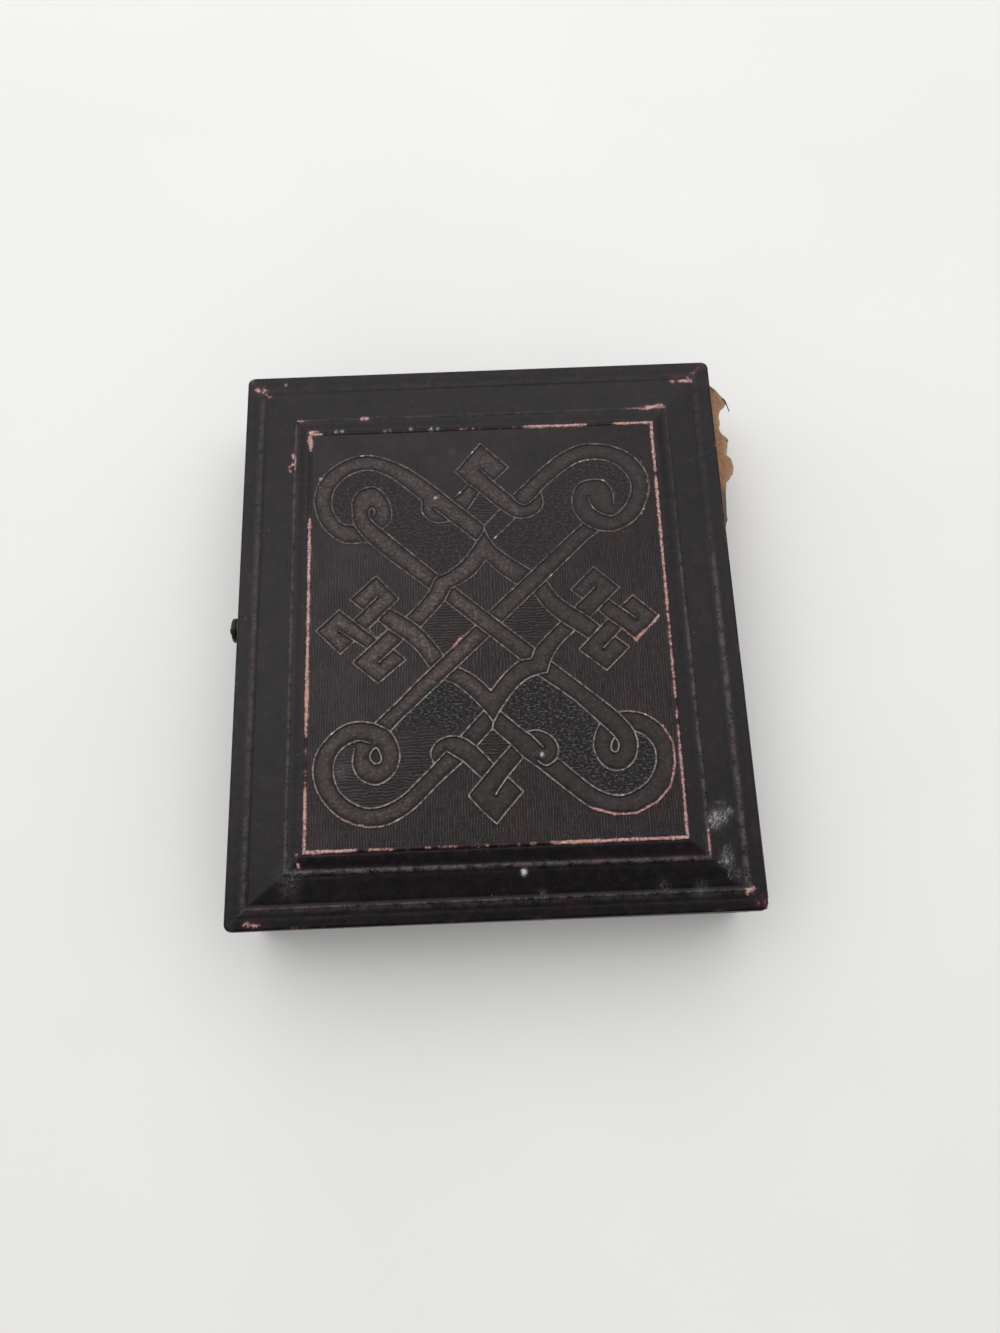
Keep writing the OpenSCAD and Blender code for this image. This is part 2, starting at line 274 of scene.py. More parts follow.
# ---------------------------------------------------------------- the pressed ornament
# Strokes of the interlaced straps on the panel, millimetres from the panel's centre.
# s is a smooth line, p a line of straight stretches, x closes an outline without being drawn.
STROKES = """
p -4.86,5.40 7.24,-5.09
p -6.73,3.35 4.97,-6.88
p 0.06,1.12 12.90,13.07 16.17,15.99
p -1.88,-0.89 -11.92,-10.35 -13.93,-12.44 -16.14,-14.50 -17.79,-16.02
p 2.19,-0.72 9.62,6.27 16.62,12.92 18.76,14.56
p 0.28,-2.78 -13.56,-15.50 -15.50,-17.51
s -0.05,15.88 -0.21,15.03 -1.45,13.17 -3.20,10.69 -4.93,9.08 -7.05,7.79 -7.53,7.72
p -7.53,7.72 -8.34,7.07
s -8.34,7.07 -9.17,5.14 -10.15,3.83 -12.56,1.23 -13.12,0.84
s 0.00,10.03 -1.76,7.75 -3.56,6.45 -5.66,5.43
p -5.66,5.43 -6.73,3.35
s -6.73,3.35 -8.45,1.40 -10.69,-1.01
s 0.03,15.70 0.30,14.70 1.54,12.56 2.96,11.24 4.38,10.09 7.50,7.90
s 0.00,10.10 2.17,7.77 4.73,5.78
s 9.65,6.10 10.96,3.90 13.07,1.90 15.98,-0.23 17.79,-1.96
s 7.52,4.04 8.85,1.89 11.31,-0.61 13.62,-2.30 15.74,-3.87
s 11.50,-0.82 9.80,-2.48 8.33,-3.90 7.24,-5.07
p 7.24,-5.07 6.60,-6.71
s 6.60,-6.71 4.80,-7.03 2.71,-8.63 1.26,-10.21 0.12,-11.67
s 13.62,-2.40 11.29,-4.61 9.78,-6.84 8.96,-9.09
s 8.96,-9.09 7.34,-9.39 5.60,-10.13 3.83,-11.66 1.39,-14.89 0.24,-16.88
p 0.24,-16.88 0.14,-17.66
s 0.12,-11.67 -1.28,-10.12 -2.82,-8.83 -4.77,-7.72
s -7.09,-9.63 -5.41,-10.42 -4.27,-11.34 -2.40,-13.16 -1.06,-14.71 0.18,-16.41
s -7.17,-5.62 -8.23,-3.91 -9.46,-2.38 -10.69,-0.97 -13.04,0.92 -15.40,2.35
s -9.38,-7.45 -11.37,-4.60 -13.29,-2.80 -15.58,-1.08 -17.36,0.47
p -19.20,-1.15 -13.97,3.98 -17.62,8.04 -21.82,4.12 -19.76,2.36
p -17.46,4.45 -21.29,0.63
p -17.41,-2.67 -23.49,2.50 -27.13,-0.92 -23.25,-4.89 -20.98,-2.78
p -23.45,-1.00 -19.05,-4.17
p -15.58,-0.98 -21.37,-6.33 -17.32,-9.87 -12.95,-6.17 -14.97,-4.30
p -13.29,-2.89 -17.22,-6.44
p -17.36,0.47 -15.67,-0.98 -17.63,-2.48 -18.76,-0.85 -17.36,0.47
p 15.26,2.82 13.38,4.42 17.30,8.20 21.21,4.55 16.16,-0.40
p 17.29,4.77 13.74,1.42
p 19.28,2.66 23.47,-0.69
p 21.02,1.24 23.24,3.18 27.06,-0.50 23.19,-4.24 21.02,-2.26
p 17.51,0.88 18.99,-0.62 21.02,-2.26
p 18.99,-0.62 14.10,-5.56 18.23,-9.11 22.09,-5.43 19.87,-3.57
p 21.00,-2.42 17.99,-5.43
s -19.07,13.87 -22.96,14.03 -25.58,16.01 -26.75,17.72 -27.80,21.81 -26.48,25.81 -23.33,28.50 -19.53,29.58 -16.33,28.92 -12.53,27.03 -7.88,23.36 -5.17,20.81 -2.91,18.85 -0.04,16.14
s -21.20,16.99 -22.99,17.33 -24.48,19.25 -24.91,20.98 -24.37,23.66 -22.08,26.02 -19.27,26.86 -17.38,26.49 -15.13,25.30 -12.83,23.38 -10.13,20.92
s -16.72,16.14 -16.31,16.35 -15.33,17.46 -15.05,18.88 -15.48,20.96 -16.62,22.81 -18.11,23.78 -20.25,23.23 -21.39,21.82 -21.54,19.58 -21.20,17.25 -19.63,14.79 -16.97,12.07 -9.17,5.48
s -18.02,18.55 -17.86,19.44 -18.27,19.90 -18.76,19.47 -18.68,18.40 -18.27,17.67 -16.96,16.38 -14.38,13.98 -9.82,9.79 -7.53,7.72
s -10.13,20.92 -10.09,18.95 -8.97,17.47 -7.35,16.88 -5.78,17.08
p -7.96,19.34 -5.27,16.85 -1.44,13.48
p -2.40,23.60 -4.52,26.01 -0.21,31.06 4.39,26.47 1.96,24.15
p -2.40,23.60 -1.08,22.64 0.38,21.17
p -2.40,23.60 -4.55,21.45
p -0.67,21.99 -2.52,19.18
p -0.04,16.05 2.76,18.97
p 1.22,13.45 4.97,17.09
s 5.01,21.49 7.75,24.10 10.04,26.25 13.05,28.58 16.48,30.12 19.24,30.20 22.13,29.52 25.11,27.72 27.13,24.33 27.40,21.58 26.30,18.56 24.40,15.96 21.02,14.33 18.44,14.61 16.32,15.80 14.71,18.31 14.64,20.65 15.87,23.03 17.90,23.67 20.11,23.33 21.30,21.36 21.37,19.17
p -0.28,26.26 1.95,23.82 4.70,21.16
s 4.70,21.16 5.70,19.98 6.71,19.53 7.55,19.91 8.58,20.84 9.68,22.11 11.89,24.17 16.12,26.98 19.72,27.29 22.31,26.17 24.14,23.71 24.35,21.52 23.08,18.69 20.99,17.04 19.05,17.60 17.60,19.09 17.28,20.54
s 0.38,21.17 2.39,19.21 3.84,18.10 5.14,17.32 6.77,17.16 8.44,17.85 9.45,18.77 9.80,19.98 9.61,21.30 9.54,21.94
s -17.79,-16.18 -20.08,-15.78 -22.22,-16.10 -24.34,-17.43 -26.43,-19.95 -27.15,-22.29 -26.95,-24.88 -25.70,-27.62 -23.14,-30.24 -20.61,-31.46 -18.53,-31.85 -15.86,-31.55 -12.28,-29.62 -8.19,-25.75 -4.50,-22.56
s -17.79,-16.18 -15.50,-17.51 -14.29,-19.73 -14.07,-21.73 -14.93,-23.98 -16.89,-25.42 -18.30,-25.51 -20.19,-24.47 -21.17,-22.52 -20.97,-19.93
s -17.63,-19.91 -16.88,-21.32 -16.96,-22.08 -17.64,-22.43 -18.39,-21.87 -18.54,-20.90 -17.63,-19.91
s -18.55,-19.18 -20.22,-18.73 -22.19,-19.42 -23.62,-20.90 -24.12,-23.02 -23.33,-26.07 -21.45,-27.93 -18.98,-29.03 -16.45,-28.72 -13.90,-27.48 -10.72,-24.60 -6.97,-20.84
s -8.94,-22.63 -9.35,-20.98 -8.35,-19.36 -6.37,-18.55 -4.20,-18.98 -2.39,-20.34 0.17,-23.12
p -6.97,-20.84 -4.49,-22.48 -1.71,-25.25
p -1.06,-14.71 -4.85,-18.70
p 0.14,-17.66 -2.39,-20.27
p 9.70,-7.30 13.92,-10.94 17.21,-13.77
p 7.39,-9.41 10.13,-11.44 12.98,-13.72 16.58,-17.36
s 17.21,-13.77 19.52,-15.91 21.54,-18.49 22.12,-20.83 21.41,-23.26 19.70,-24.66 17.83,-24.64 16.31,-23.52 15.40,-21.34 15.69,-19.19 16.58,-17.36
s 16.58,-17.36 18.67,-19.57 19.24,-20.72 18.85,-21.94 18.11,-21.68 18.19,-20.53 18.79,-19.62
p 1.46,-14.97 5.07,-18.24 5.96,-18.82 7.69,-20.74
p 0.14,-17.66 2.78,-20.16 4.74,-22.31 7.07,-24.07 10.66,-27.23
s 10.66,-27.23 14.65,-30.32 17.82,-31.23 20.99,-31.20 24.09,-29.78 26.38,-27.54 27.45,-24.10 27.43,-20.89 26.00,-18.20 23.55,-16.30 21.30,-15.74 19.53,-15.75
s 5.07,-18.32 7.06,-18.16 8.99,-19.09 9.97,-20.67 9.72,-22.50 8.61,-23.45 7.85,-23.57 6.83,-22.85
s 9.72,-22.50 10.88,-23.46 12.73,-25.20 15.73,-27.58 18.51,-28.54 20.79,-28.07 23.17,-26.51 24.58,-23.99 24.57,-21.47 23.28,-19.64 21.76,-18.81
p 2.77,-20.39 0.25,-23.05 -1.56,-25.10 -3.65,-27.43 -3.74,-27.87 -1.87,-30.03 0.29,-32.10 1.53,-30.60 4.43,-27.44 2.20,-25.10
p 0.30,-27.73 0.62,-27.14 2.21,-25.02 4.58,-22.38
x 5.01,21.49 4.70,21.16
x -9.38,-7.45 -9.20,-7.86
x -7.17,-5.62 -7.01,-5.83
x -4.55,21.45 -5.15,20.85
x -2.52,19.18 -2.89,18.84
x -4.86,5.40 -5.04,5.91
x 21.37,19.17 21.31,17.15
x -20.97,-19.93 -20.52,-18.79
x -19.76,2.36 -19.84,2.06
x 4.73,5.78 4.88,5.61
"""
STUDS = [(-17.46, 4.45, 1), (-23.45, -1.0, 1), (-17.22, -6.44, 1), (17.29, 4.77, 1), (23.47, -0.69, 1), (17.99, -5.43, 1), (-7.86, 21.19, 1.5), (-0.28, 26.26, 1), (7.55, -22.04, 1.7), (0.3, -27.73, 1)]

def read_strokes(txt):
    out = []
    for ln in txt.strip().splitlines():
        k, *p = ln.split()
        out.append((k, np.array([[float(q) for q in s.split(",")] for s in p])))
    return out

def straight(P, step=0.25):
    out = []
    for a, b in zip(P[:-1], P[1:]):
        n = max(1, int(np.ceil(np.hypot(*(b - a)) / step)))
        for t in np.linspace(0, 1, n, endpoint=False):
            out.append(a + (b - a) * t)
    out.append(P[-1])
    return np.array(out)

def smooth(P, step=0.25):
    """centripetal Catmull-Rom curve through the points"""
    P = np.asarray(P, float)
    if len(P) < 3:
        return straight(P, step)
    if np.hypot(*(P[0] - P[-1])) < 0.05:
        Q = np.vstack([P[-2], P, P[1]])
    else:
        Q = np.vstack([2 * P[0] - P[1], P, 2 * P[-1] - P[-2]])
    out = []
    for i in range(1, len(Q) - 2):
        p0, p1, p2, p3 = Q[i - 1:i + 3]
        t0 = 0
        t1 = t0 + np.hypot(*(p1 - p0)) ** .5
        t2 = t1 + np.hypot(*(p2 - p1)) ** .5
        t3 = t2 + np.hypot(*(p3 - p2)) ** .5
        n = max(2, int(np.ceil(np.hypot(*(p2 - p1)) / step)))
        for t in np.linspace(t1, t2, n, endpoint=False):
            a1 = (t1 - t) / (t1 - t0) * p0 + (t - t0) / (t1 - t0) * p1
            a2 = (t2 - t) / (t2 - t1) * p1 + (t - t1) / (t2 - t1) * p2
            a3 = (t3 - t) / (t3 - t2) * p2 + (t - t2) / (t3 - t2) * p3
            b1 = (t2 - t) / (t2 - t0) * a1 + (t - t0) / (t2 - t0) * a2
            b2 = (t3 - t) / (t3 - t1) * a2 + (t - t1) / (t3 - t1) * a3
            out.append((t2 - t) / (t2 - t1) * b1 + (t - t1) / (t2 - t1) * b2)
    out.append(P[-1])
    return np.array(out)

def distance(xs, ys, polys, rad):
    """distance of each grid point to the nearest line, up to about rad"""
    D = np.full((len(ys), len(xs)), 9.0)
    for P in polys:
        for a, b in zip(P[:-1], P[1:]):
            lo, hi = np.minimum(a, b) - rad, np.maximum(a, b) + rad
            i0, i1 = np.searchsorted(xs, [lo[0], hi[0]])
            j0, j1 = np.searchsorted(ys, [lo[1], hi[1]])
            if i1 <= i0 or j1 <= j0:
                continue
            X, Y = xs[i0:i1][None, :] - a[0], ys[j0:j1][:, None] - a[1]
            d = b - a
            t = np.clip((X * d[0] + Y * d[1]) / max(d @ d, 1e-9), 0, 1)
            w = D[j0:j1, i0:i1]
            np.minimum(w, np.hypot(X - t * d[0], Y - t * d[1]), out=w)
    return D

def components(free):
    """labels of the connected free cells, by runs and union-find"""
    par = [0]
    def find(a):
        while par[a] != a:
            par[a] = par[par[a]]
            a = par[a]
        return a
    lab = np.zeros(free.shape, np.int32)
    prev = []
    for j in range(free.shape[0]):
        r = np.flatnonzero(np.diff(np.concatenate([[0], free[j].astype(np.int8), [0]])))
        cur, pi = [], 0
        for s, e in zip(r[::2], r[1::2]):
            l = len(par)
            par.append(l)
            while pi < len(prev) and prev[pi][1] <= s:
                pi += 1
            k = pi
            while k < len(prev) and prev[k][0] < e:
                a, b = find(l), find(prev[k][2])
                if a != b:
                    par[max(a, b)] = min(a, b)
                k += 1
            cur.append((s, e, l))
            lab[j, s:e] = l
        prev = cur
    root = np.array([find(i) for i in range(len(par))])
    return root[lab]

PX, PY, PP = 29.0, 35.35, 0.08
gx = np.arange(-PX, PX + 0.01, PP)
gy = np.arange(-PY, PY + 0.01, PP)
_st = read_strokes(STROKES)
_vis = [smooth(p) if k == "s" else straight(p) for k, p in _st if k != "x"]
_bar = [smooth(p) for k, p in _st if k == "x"]
DIST = distance(gx, gy, _vis, 1.6)
_lab = components(np.minimum(DIST, distance(gx, gy, _bar, 0.3)) > 0.11)

def _at(x, y):
    return _lab[int(round((y + PY) / PP)), int(round((x + PX) / PP))]

_edge = set(np.unique(np.concatenate([_lab[0], _lab[-1], _lab[:, 0], _lab[:, -1]]))) - {0}
CELLS = {
    "moro": [(7.2, 10.3), (-7.2, 9.8), (18.6, -27.0), (-18.8, -27.4)],
    "line": [(7.2, -2.7), (-6.8, -3.1), (0, 18.7), (0.2, -20.7)],
    "streak": [(0, 3.5), (0, -9.0), (-17.3, -0.5), (17.7, -0.2)],
    "deep": [(-17.7, -21.1), (18.7, -21.0)],
}
KIND = {k: np.isin(_lab, [_at(*p) for p in v if _at(*p) not in _edge and _at(*p) != 0]) for k, v in CELLS.items()}
KIND["back"] = np.isin(_lab, list(_edge))
_cell = _lab == _at(-18.8, -27.4)
KIND["strap"] = (_lab != 0) & ~np.logical_or.reduce([KIND[k] for k in KIND])
KIND["grain"] = _lab == _at(-9.6, 8.2)

def _grow(m, n=2):
    m = m.astype(np.float32)
    for _ in range(n):
        p = np.pad(m, 1, mode="edge")
        m = np.maximum.reduce([p[1:-1, 1:-1], p[:-2, 1:-1], p[2:, 1:-1], p[1:-1, :-2], p[1:-1, 2:]])
    return m

KIND = {k: _grow(v, 1) for k, v in KIND.items()}
# in the low left cell the grain passes into lines
_c = _grow(_cell, 1)
_t = 1 - smoothstep(-19.0, -16.0, gy[:, None] + 0.7 * np.sin(0.8 * gx)[None, :] + 0.5 * np.sin(2.1 * gx + 1)[None, :])
KIND["moro"] = np.where(_c > 0, _c * (1 - _t), KIND["moro"])
KIND["line"] = np.where(_c > 0, _c * _t, KIND["line"])

def lookup(A, x, y, nearest=False):
    """a value of a panel grid at points; outside the panel the nearest edge value"""
    u = np.clip((x + PX) / PP, 0, A.shape[1] - 1.001)
    v = np.clip((y + PY) / PP, 0, A.shape[0] - 1.001)
    if nearest:
        return A[np.rint(v).astype(int), np.rint(u).astype(int)]
    i, j = u.astype(int), v.astype(int)
    fu, fv = u - i, v - j
    return ((A[j, i] * (1 - fu) + A[j, i + 1] * fu) * (1 - fv)
            + (A[j + 1, i] * (1 - fu) + A[j + 1, i + 1] * fu) * fv)

# ---------------------------------------------------------------- leather covers
HW, HL, RC = 39.7, 46.05, 1.2
BAND = 17.7
PANEL = 1.18

def profile(d, f=1.0):
    """height of the pressed cover over its flat outer band, by distance from the outside edge"""
    d = np.asarray(d, float)
    g = lambda c, w: np.exp(-((d - c) / w) ** 2)
    e = np.clip(0.42 - d, 0, 0.42)
    z = -0.10 * (1 - smoothstep(0, 1.9, d)) - (0.42 - np.sqrt(np.maximum(0.42 ** 2 - e * e, 0)))
    k = 0.3 + 0.7 * np.clip(f, 0, 1)
    z += 0.05 * k + (0.04 * k + 0.06 * f) * (smoothstep(1.85, 3.0, d) - smoothstep(3.2, 3.55, d)) - 0.05 * k * smoothstep(3.2, 3.6, d)
    z += f * (0.045 * g(3.12, 0.17) - 0.03 * g(3.72, 0.20) - 0.03 * g(1.8, 0.2))
    z += 0.66 * np.clip((d - 3.5) / 4.65, 0, 1) - f * 0.04 * g(7.8, 0.30) + (0.5 + 0.5 * f) * 0.14 * g(8.42, 0.26)
    z += (PANEL - 0.66) * smoothstep(8.45, 11.1, d) - f * 0.05 * g(10.90, 0.18)
    z += 0.12 * (smoothstep(10.98, 11.22, d) - smoothstep(11.42, 11.66, d))
    return z

def pressed(x, y, s=1.0):
    """height of the ornament over the panel"""
    D = lookup(DIST, x, y)
    k = {n: lookup(KIND[n], x, y) for n in KIND}
    h = 0.11 * np.exp(-(D / 0.13) ** 2)
    face = -0.075 + 0.085 * smoothstep(0.22, 0.62, D) + 0.02 * smoothstep(0.6, 1.4, D)
    h += k["strap"] * face * (1 - np.exp(-(D / 0.17) ** 2))
    h += k["deep"] * -0.06 * smoothstep(0.1, 0.4, D)
    m = fbm(x * 0.55, y * 1.1, 0.62, 5, 3) - 0.5
    h += k["moro"] * 0.17 * m * smoothstep(0.15, 0.5, D)
    h += k["strap"] * (0.11 * (fbm(x, y, 1.0, 9, 3) - 0.5) + 0.05 * (fbm(x, y, 0.45, 10, 2) - 0.5)) * smoothstep(0.12, 0.4, D)
    h += k["grain"] * 0.08 * (fbm(x, y, 0.5, 12, 2) - 0.5)
    h += (1 - k["strap"]) * 0.03 * (fbm(x, y, 0.7, 15, 3) - 0.5)
    for sx, sy, sr in STUDS:
        r = np.hypot(x - sx, y - sy)
        w = 0.42 * sr
        h += 0.10 * np.exp(-(r / (0.55 * w)) ** 2) - 0.09 * np.exp(-((r - 1.5 * w) / (0.4 * w)) ** 2)
    return np.minimum(h, 0.12) * s

def inset_lines(half, fine, pitch):
    if fine:
        e = [0, .03, .08, .15, .24, .34, .45, .56, .8, 1.05, 1.3, 1.5, 1.7]
        e += list(np.arange(1.85, 3.96, .1)) + list(np.arange(4.2, 7.31, .3)) + list(np.arange(7.48, 9.0, .11))
        e += [9.2, 9.45, 9.7, 9.95] + list(np.arange(10.25, 11.86, .1))
    else:
        e = [0, .04, .12, .25, .4, .56, 1.0, 1.5] + list(np.arange(1.85, 3.96, .15))
        e += [4.5, 5.2, 6.0, 6.8, 7.3] + list(np.arange(7.5, 9.0, .16)) + [9.3, 9.8] + list(np.arange(10.25, 11.9, .13))
    e = np.array(e)
    c = half - e[-1]
    n = int(round(2 * c / pitch))
    mid = np.linspace(-c, c, n + 1)[1:-1]
    return np.concatenate([-half + e, mid, (half - e)[::-1]])

def table_value(pos, pts):
    p = np.array(pts, float)
    return np.interp(pos, p[:, 0], p[:, 1])

BORDER = {
    "l": [(-35.4, .8), (-34, .95), (-28, .9), (-24.5, .6), (-21, .35), (-18, .5), (-15, .95), (0, 1), (12, 1), (17, .9),
          (19, .5), (21, .3), (27, .25), (28.4, .05), (30.2, .1), (31, .9), (34, 1), (35.4, .9)],
    "r": [(-35.4, .9), (-30, .75), (-20, .6), (-10, .62), (0, .66), (10, .85), (20, .95), (23.9, .85), (24.3, .2),
          (24.8, .9), (35.4, 1)],
    "t": [(-29.4, .95), (-27, .85), (-26, .22), (-20, .26), (-10, .24), (0, .35), (7, .4), (8.6, .95), (16.6, .95),
          (18, .45), (22, .45), (23, .95), (29.4, 1)],
    "b": [(-28.9, .95), (-21.8, .9), (-20, .45), (-10, .4), (0, .4), (8, .45), (9.7, .9), (20, .85), (28.9, .95)],
}
RIDGE = {
    "l": [(-38, .1), (26.5, .12), (27.6, .7), (30.2, .7), (31, .15), (38, .2)],
    "r": [(-38, .75), (-34, .7), (-33, .15), (38, .15)],
    "t": [(-31.5, .3), (-30.4, .8), (-28.9, .7), (-28.2, .15), (-22, .12), (-21.4, .2), (-18.4, .2), (-17.6, .1), (24.4, .12),
          (25.2, .9), (31, .95), (31.5, .5)],
    "b": [(-31.5, .2), (-24, .15), (31.5, .2)],
}
# worn places on the covers: x0,y0, x1,y1, width, strength
WORN = [
    (33.1, 42.36, 36.6, 42.35, 0.34, 0.72),
    (34.6, 42.45, 36.4, 42.40, 0.40, 0.82),
    (35.7, 43.0, 38.0, 44.5, 0.40, 0.50),
    (33.6, 43.2, 35.6, 42.9, 0.35, 0.30),
    (27.1, 36.85, 31.0, 37.2, 0.36, 0.66),
    (28.4, 37.0, 30.9, 37.2, 0.56, 1.0),
    (-38.5, 44.1, -37.7, 43.1, 0.72, 0.74),
    (-38.2, 43.7, -38.0, 43.3, 0.34, 0.90),
    (-37.2, 43.8, -36.7, 43.1, 0.62, 0.50),
    (-36.6, 42.6, -36.0, 42.2, 0.55, 0.50),
    (-35.6, 42.3, -35.3, 42.6, 0.30, 0.5),
    (36.6, -43.0, 37.5, -42.8, 0.62, 0.72),
    (38.3, -44.9, 39.0, -44.4, 0.80, 0.42),
    (-37.2, -45.0, -35.0, -45.3, 0.40, 0.6),
    (30.9, -35.0, 31.1, -37.4, 0.18, 0.34),
    (-29.4, -34.8, -29.1, -37.3, 0.30, 0.6),
    (-28.72, 34.25, -28.66, 31.8, 0.34, 1.0),
    (-28.7, 34.32, -27.3, 34.36, 0.28, 0.95),
    (-30.3, 36.75, -28.9, 36.6, 0.34, 0.7),
    (-20.0, 36.88, -19.3, 36.85, 0.46, 0.95),
    (-31.5, 30.4, -31.6, 28.9, 0.34, 0.75),
    (-32.1, 28.3, -31.9, 27.4, 0.32, 0.7),
    (-5.7, -4.55, -4.0, -2.55, 0.20, 0.60),
    (-5.35, -4.15, -4.45, -3.05, 0.26, 1.0),
    (21.1, -2.31, 23.2, -4.3, 0.20, 0.6),
    (23.2, -4.3, 27.1, -0.53, 0.24, 0.85),
    (27.1, -0.53, 25.9, 0.56, 0.2, 0.5),
    (-27.6, 21.88, -26.5, 25.75, 0.25, 0.35),
    (-26.9, 25.45, -26.7, 25.65, 0.38, 0.8),
    (-22, 14.64, -19.5, 14.05, 0.20, 0.3),
    (18.8, 14.34, 23.7, 14.15, 0.2, 0.4),
    (-23.2, -30.28, -20.5, -31.47, 0.2, 0.5),
    (-20.5, -31.47, -17.8, -31.76, 0.2, 0.55),
    (-39.0, 3.1, -38.6, 2.2, 0.35, 0.35),
]
VOLUTE = [(14.7, -30.28), (17.9, -31.27), (21.1, -31.27), (24.2, -29.78), (26.4, -27.6), (27.5, -24.13), (27.5, -20.96), (26.1, -18.18)]
WORN += [(*a, *b, .20, .80) for a, b in zip(VOLUTE[:-1], VOLUTE[1:])]
VOLUTE2 = [(26.3, 26.84), (27.3, 23.86), (27.3, 21.48), (26.7, 18.91), (25.5, 16.92)]
WORN += [(*a, *b, .22, .5) for a, b in zip(VOLUTE2[:-1], VOLUTE2[1:])]
# greyish scuffs, and painted glints on two domed studs (the entries at 7.5,-21.97 and -7.86,21.3): x, y, radius,
# strength
SCUFFS_AND_STUD_GLINTS = [(32.9, -32.5, 0.85, 0.95), (34.0, -32.0, 0.75, 0.62), (35.2, -31.5, 0.5, 0.45), (34.2, -30.3, 0.7, 0.10), (34.1, -38.3, 0.8, 0.50), (34.4, -39.2, 0.6, 0.26), (35.3, -40.6, 0.9, 0.10),
          (-24.35, 34.28, 0.26, 1.1), (-23.34, 34.23, 0.24, 1.3), (-16.11, 34.04, 0.24, 1.0), (-11.73, 34.24, 0.24, 1.0), (-8.37, 34.01, 0.3, 1.1), (-15.2, 34.1, 0.2, 0.9), (-7.2, 34.1, 0.22, 0.9),
          (4.0, -39.1, 0.35, 2.5),
          (6.6, -42.47, 0.5, 0.16), (-24.2, 17.82, 0.6, 0.1), (-5.0, 29.81, 0.5, 0.08), (-30.5, -39.0, 1.6, 0.13), (-33.3, 44.35, 0.2, 1.0), (7.5, -21.97, 0.22, 2.3), (-7.86, 21.3, 0.2, 2.1), (-22.9, -23.3, 0.9, 0.14), (24.5, -41.9, 0.8, 0.10), (29.9, -42.6, 0.9, 0.12)]
# single pale scratches: two ends, width, strength
SCRATCHES = [(32.07, -32.85, 32.81, -31.39, 0.17, 1), (32.27, -33.74, 33.07, -31.85, 0.2, 1), (32.96, -32.88, 33.4, -31.57, 0.18, 1),
             (33.44, -32.61, 33.99, -31.59, 0.16, 0.9), (33.9, -32.48, 34.47, -31.31, 0.16, 0.9), (34.54, -32.06, 35.24, -31.19, 0.15, 0.8),
             (31.99, -32.11, 32.65, -31.54, 0.16, 0.9), (32.48, -33.16, 32.7, -33.91, 0.15, 0.8), (33.6, -38.18, 34.08, -36.45, 0.15, 0.6),
             (33.24, -38.75, 33.77, -37.9, 0.15, 0.8), (32.64, -38.87, 33.39, -38.75, 0.15, 0.8), (33.62, -39.34, 34.14, -38.64, 0.15, 0.6),
             (33.97, -40.21, 34.29, -41.37, 0.12, 0.4), (33.08, -37.44, 33.53, -38.76, 0.12, 0.45), (34.67, -36.48, 33.15, -39.61, 0.12, 0.35),
             (33.27, -29.92, 34.7, -30.57, 0.12, 0.35)]

def seg_dist(x, y, x0, y0, x1, y1):
    dx, dy = x1 - x0, y1 - y0
    t = np.clip(((x - x0) * dx + (y - y0) * dy) / max(dx * dx + dy * dy, 1e-9), 0, 1)
    return np.hypot(x - x0 - t * dx, y - y0 - t * dy)

# how far the corners of the outline, of the first ridge and of the panel border stand off square
SKEW = {"outer": [(-.2, -.02), (.05, .1), (-.1, .1), (-.45, -.03)],
        "ridge": [(.08, -.9), (.1, -.7), (.36, -.5), (.14, -.34)],
        "panel": [(-.27, -.92), (.44, -.95), (-.09, -.26), (.19, -.38)]}

def skew(X, Y, d):
    u, v = (np.clip(X / HW, -1, 1) + 1) / 2, (np.clip(Y / HL, -1, 1) + 1) / 2
    w = {"outer": 1 - smoothstep(3.3, 8.1, d), "panel": smoothstep(8.7, 10.5, d)}
    w["ridge"] = 1 - w["outer"] - w["panel"]
    sx = sy = 0
    for k, c in SKEW.items():
        tl, tr, br, bl = c
        for a in (0, 1):
            f = (tl[a] * (1 - u) + tr[a] * u) * v + (bl[a] * (1 - u) + br[a] * u) * (1 - v)
            if a == 0:
                sx = sx + w[k] * f
            else:
                sy = sy + w[k] * f
    return X + sx, Y + sy

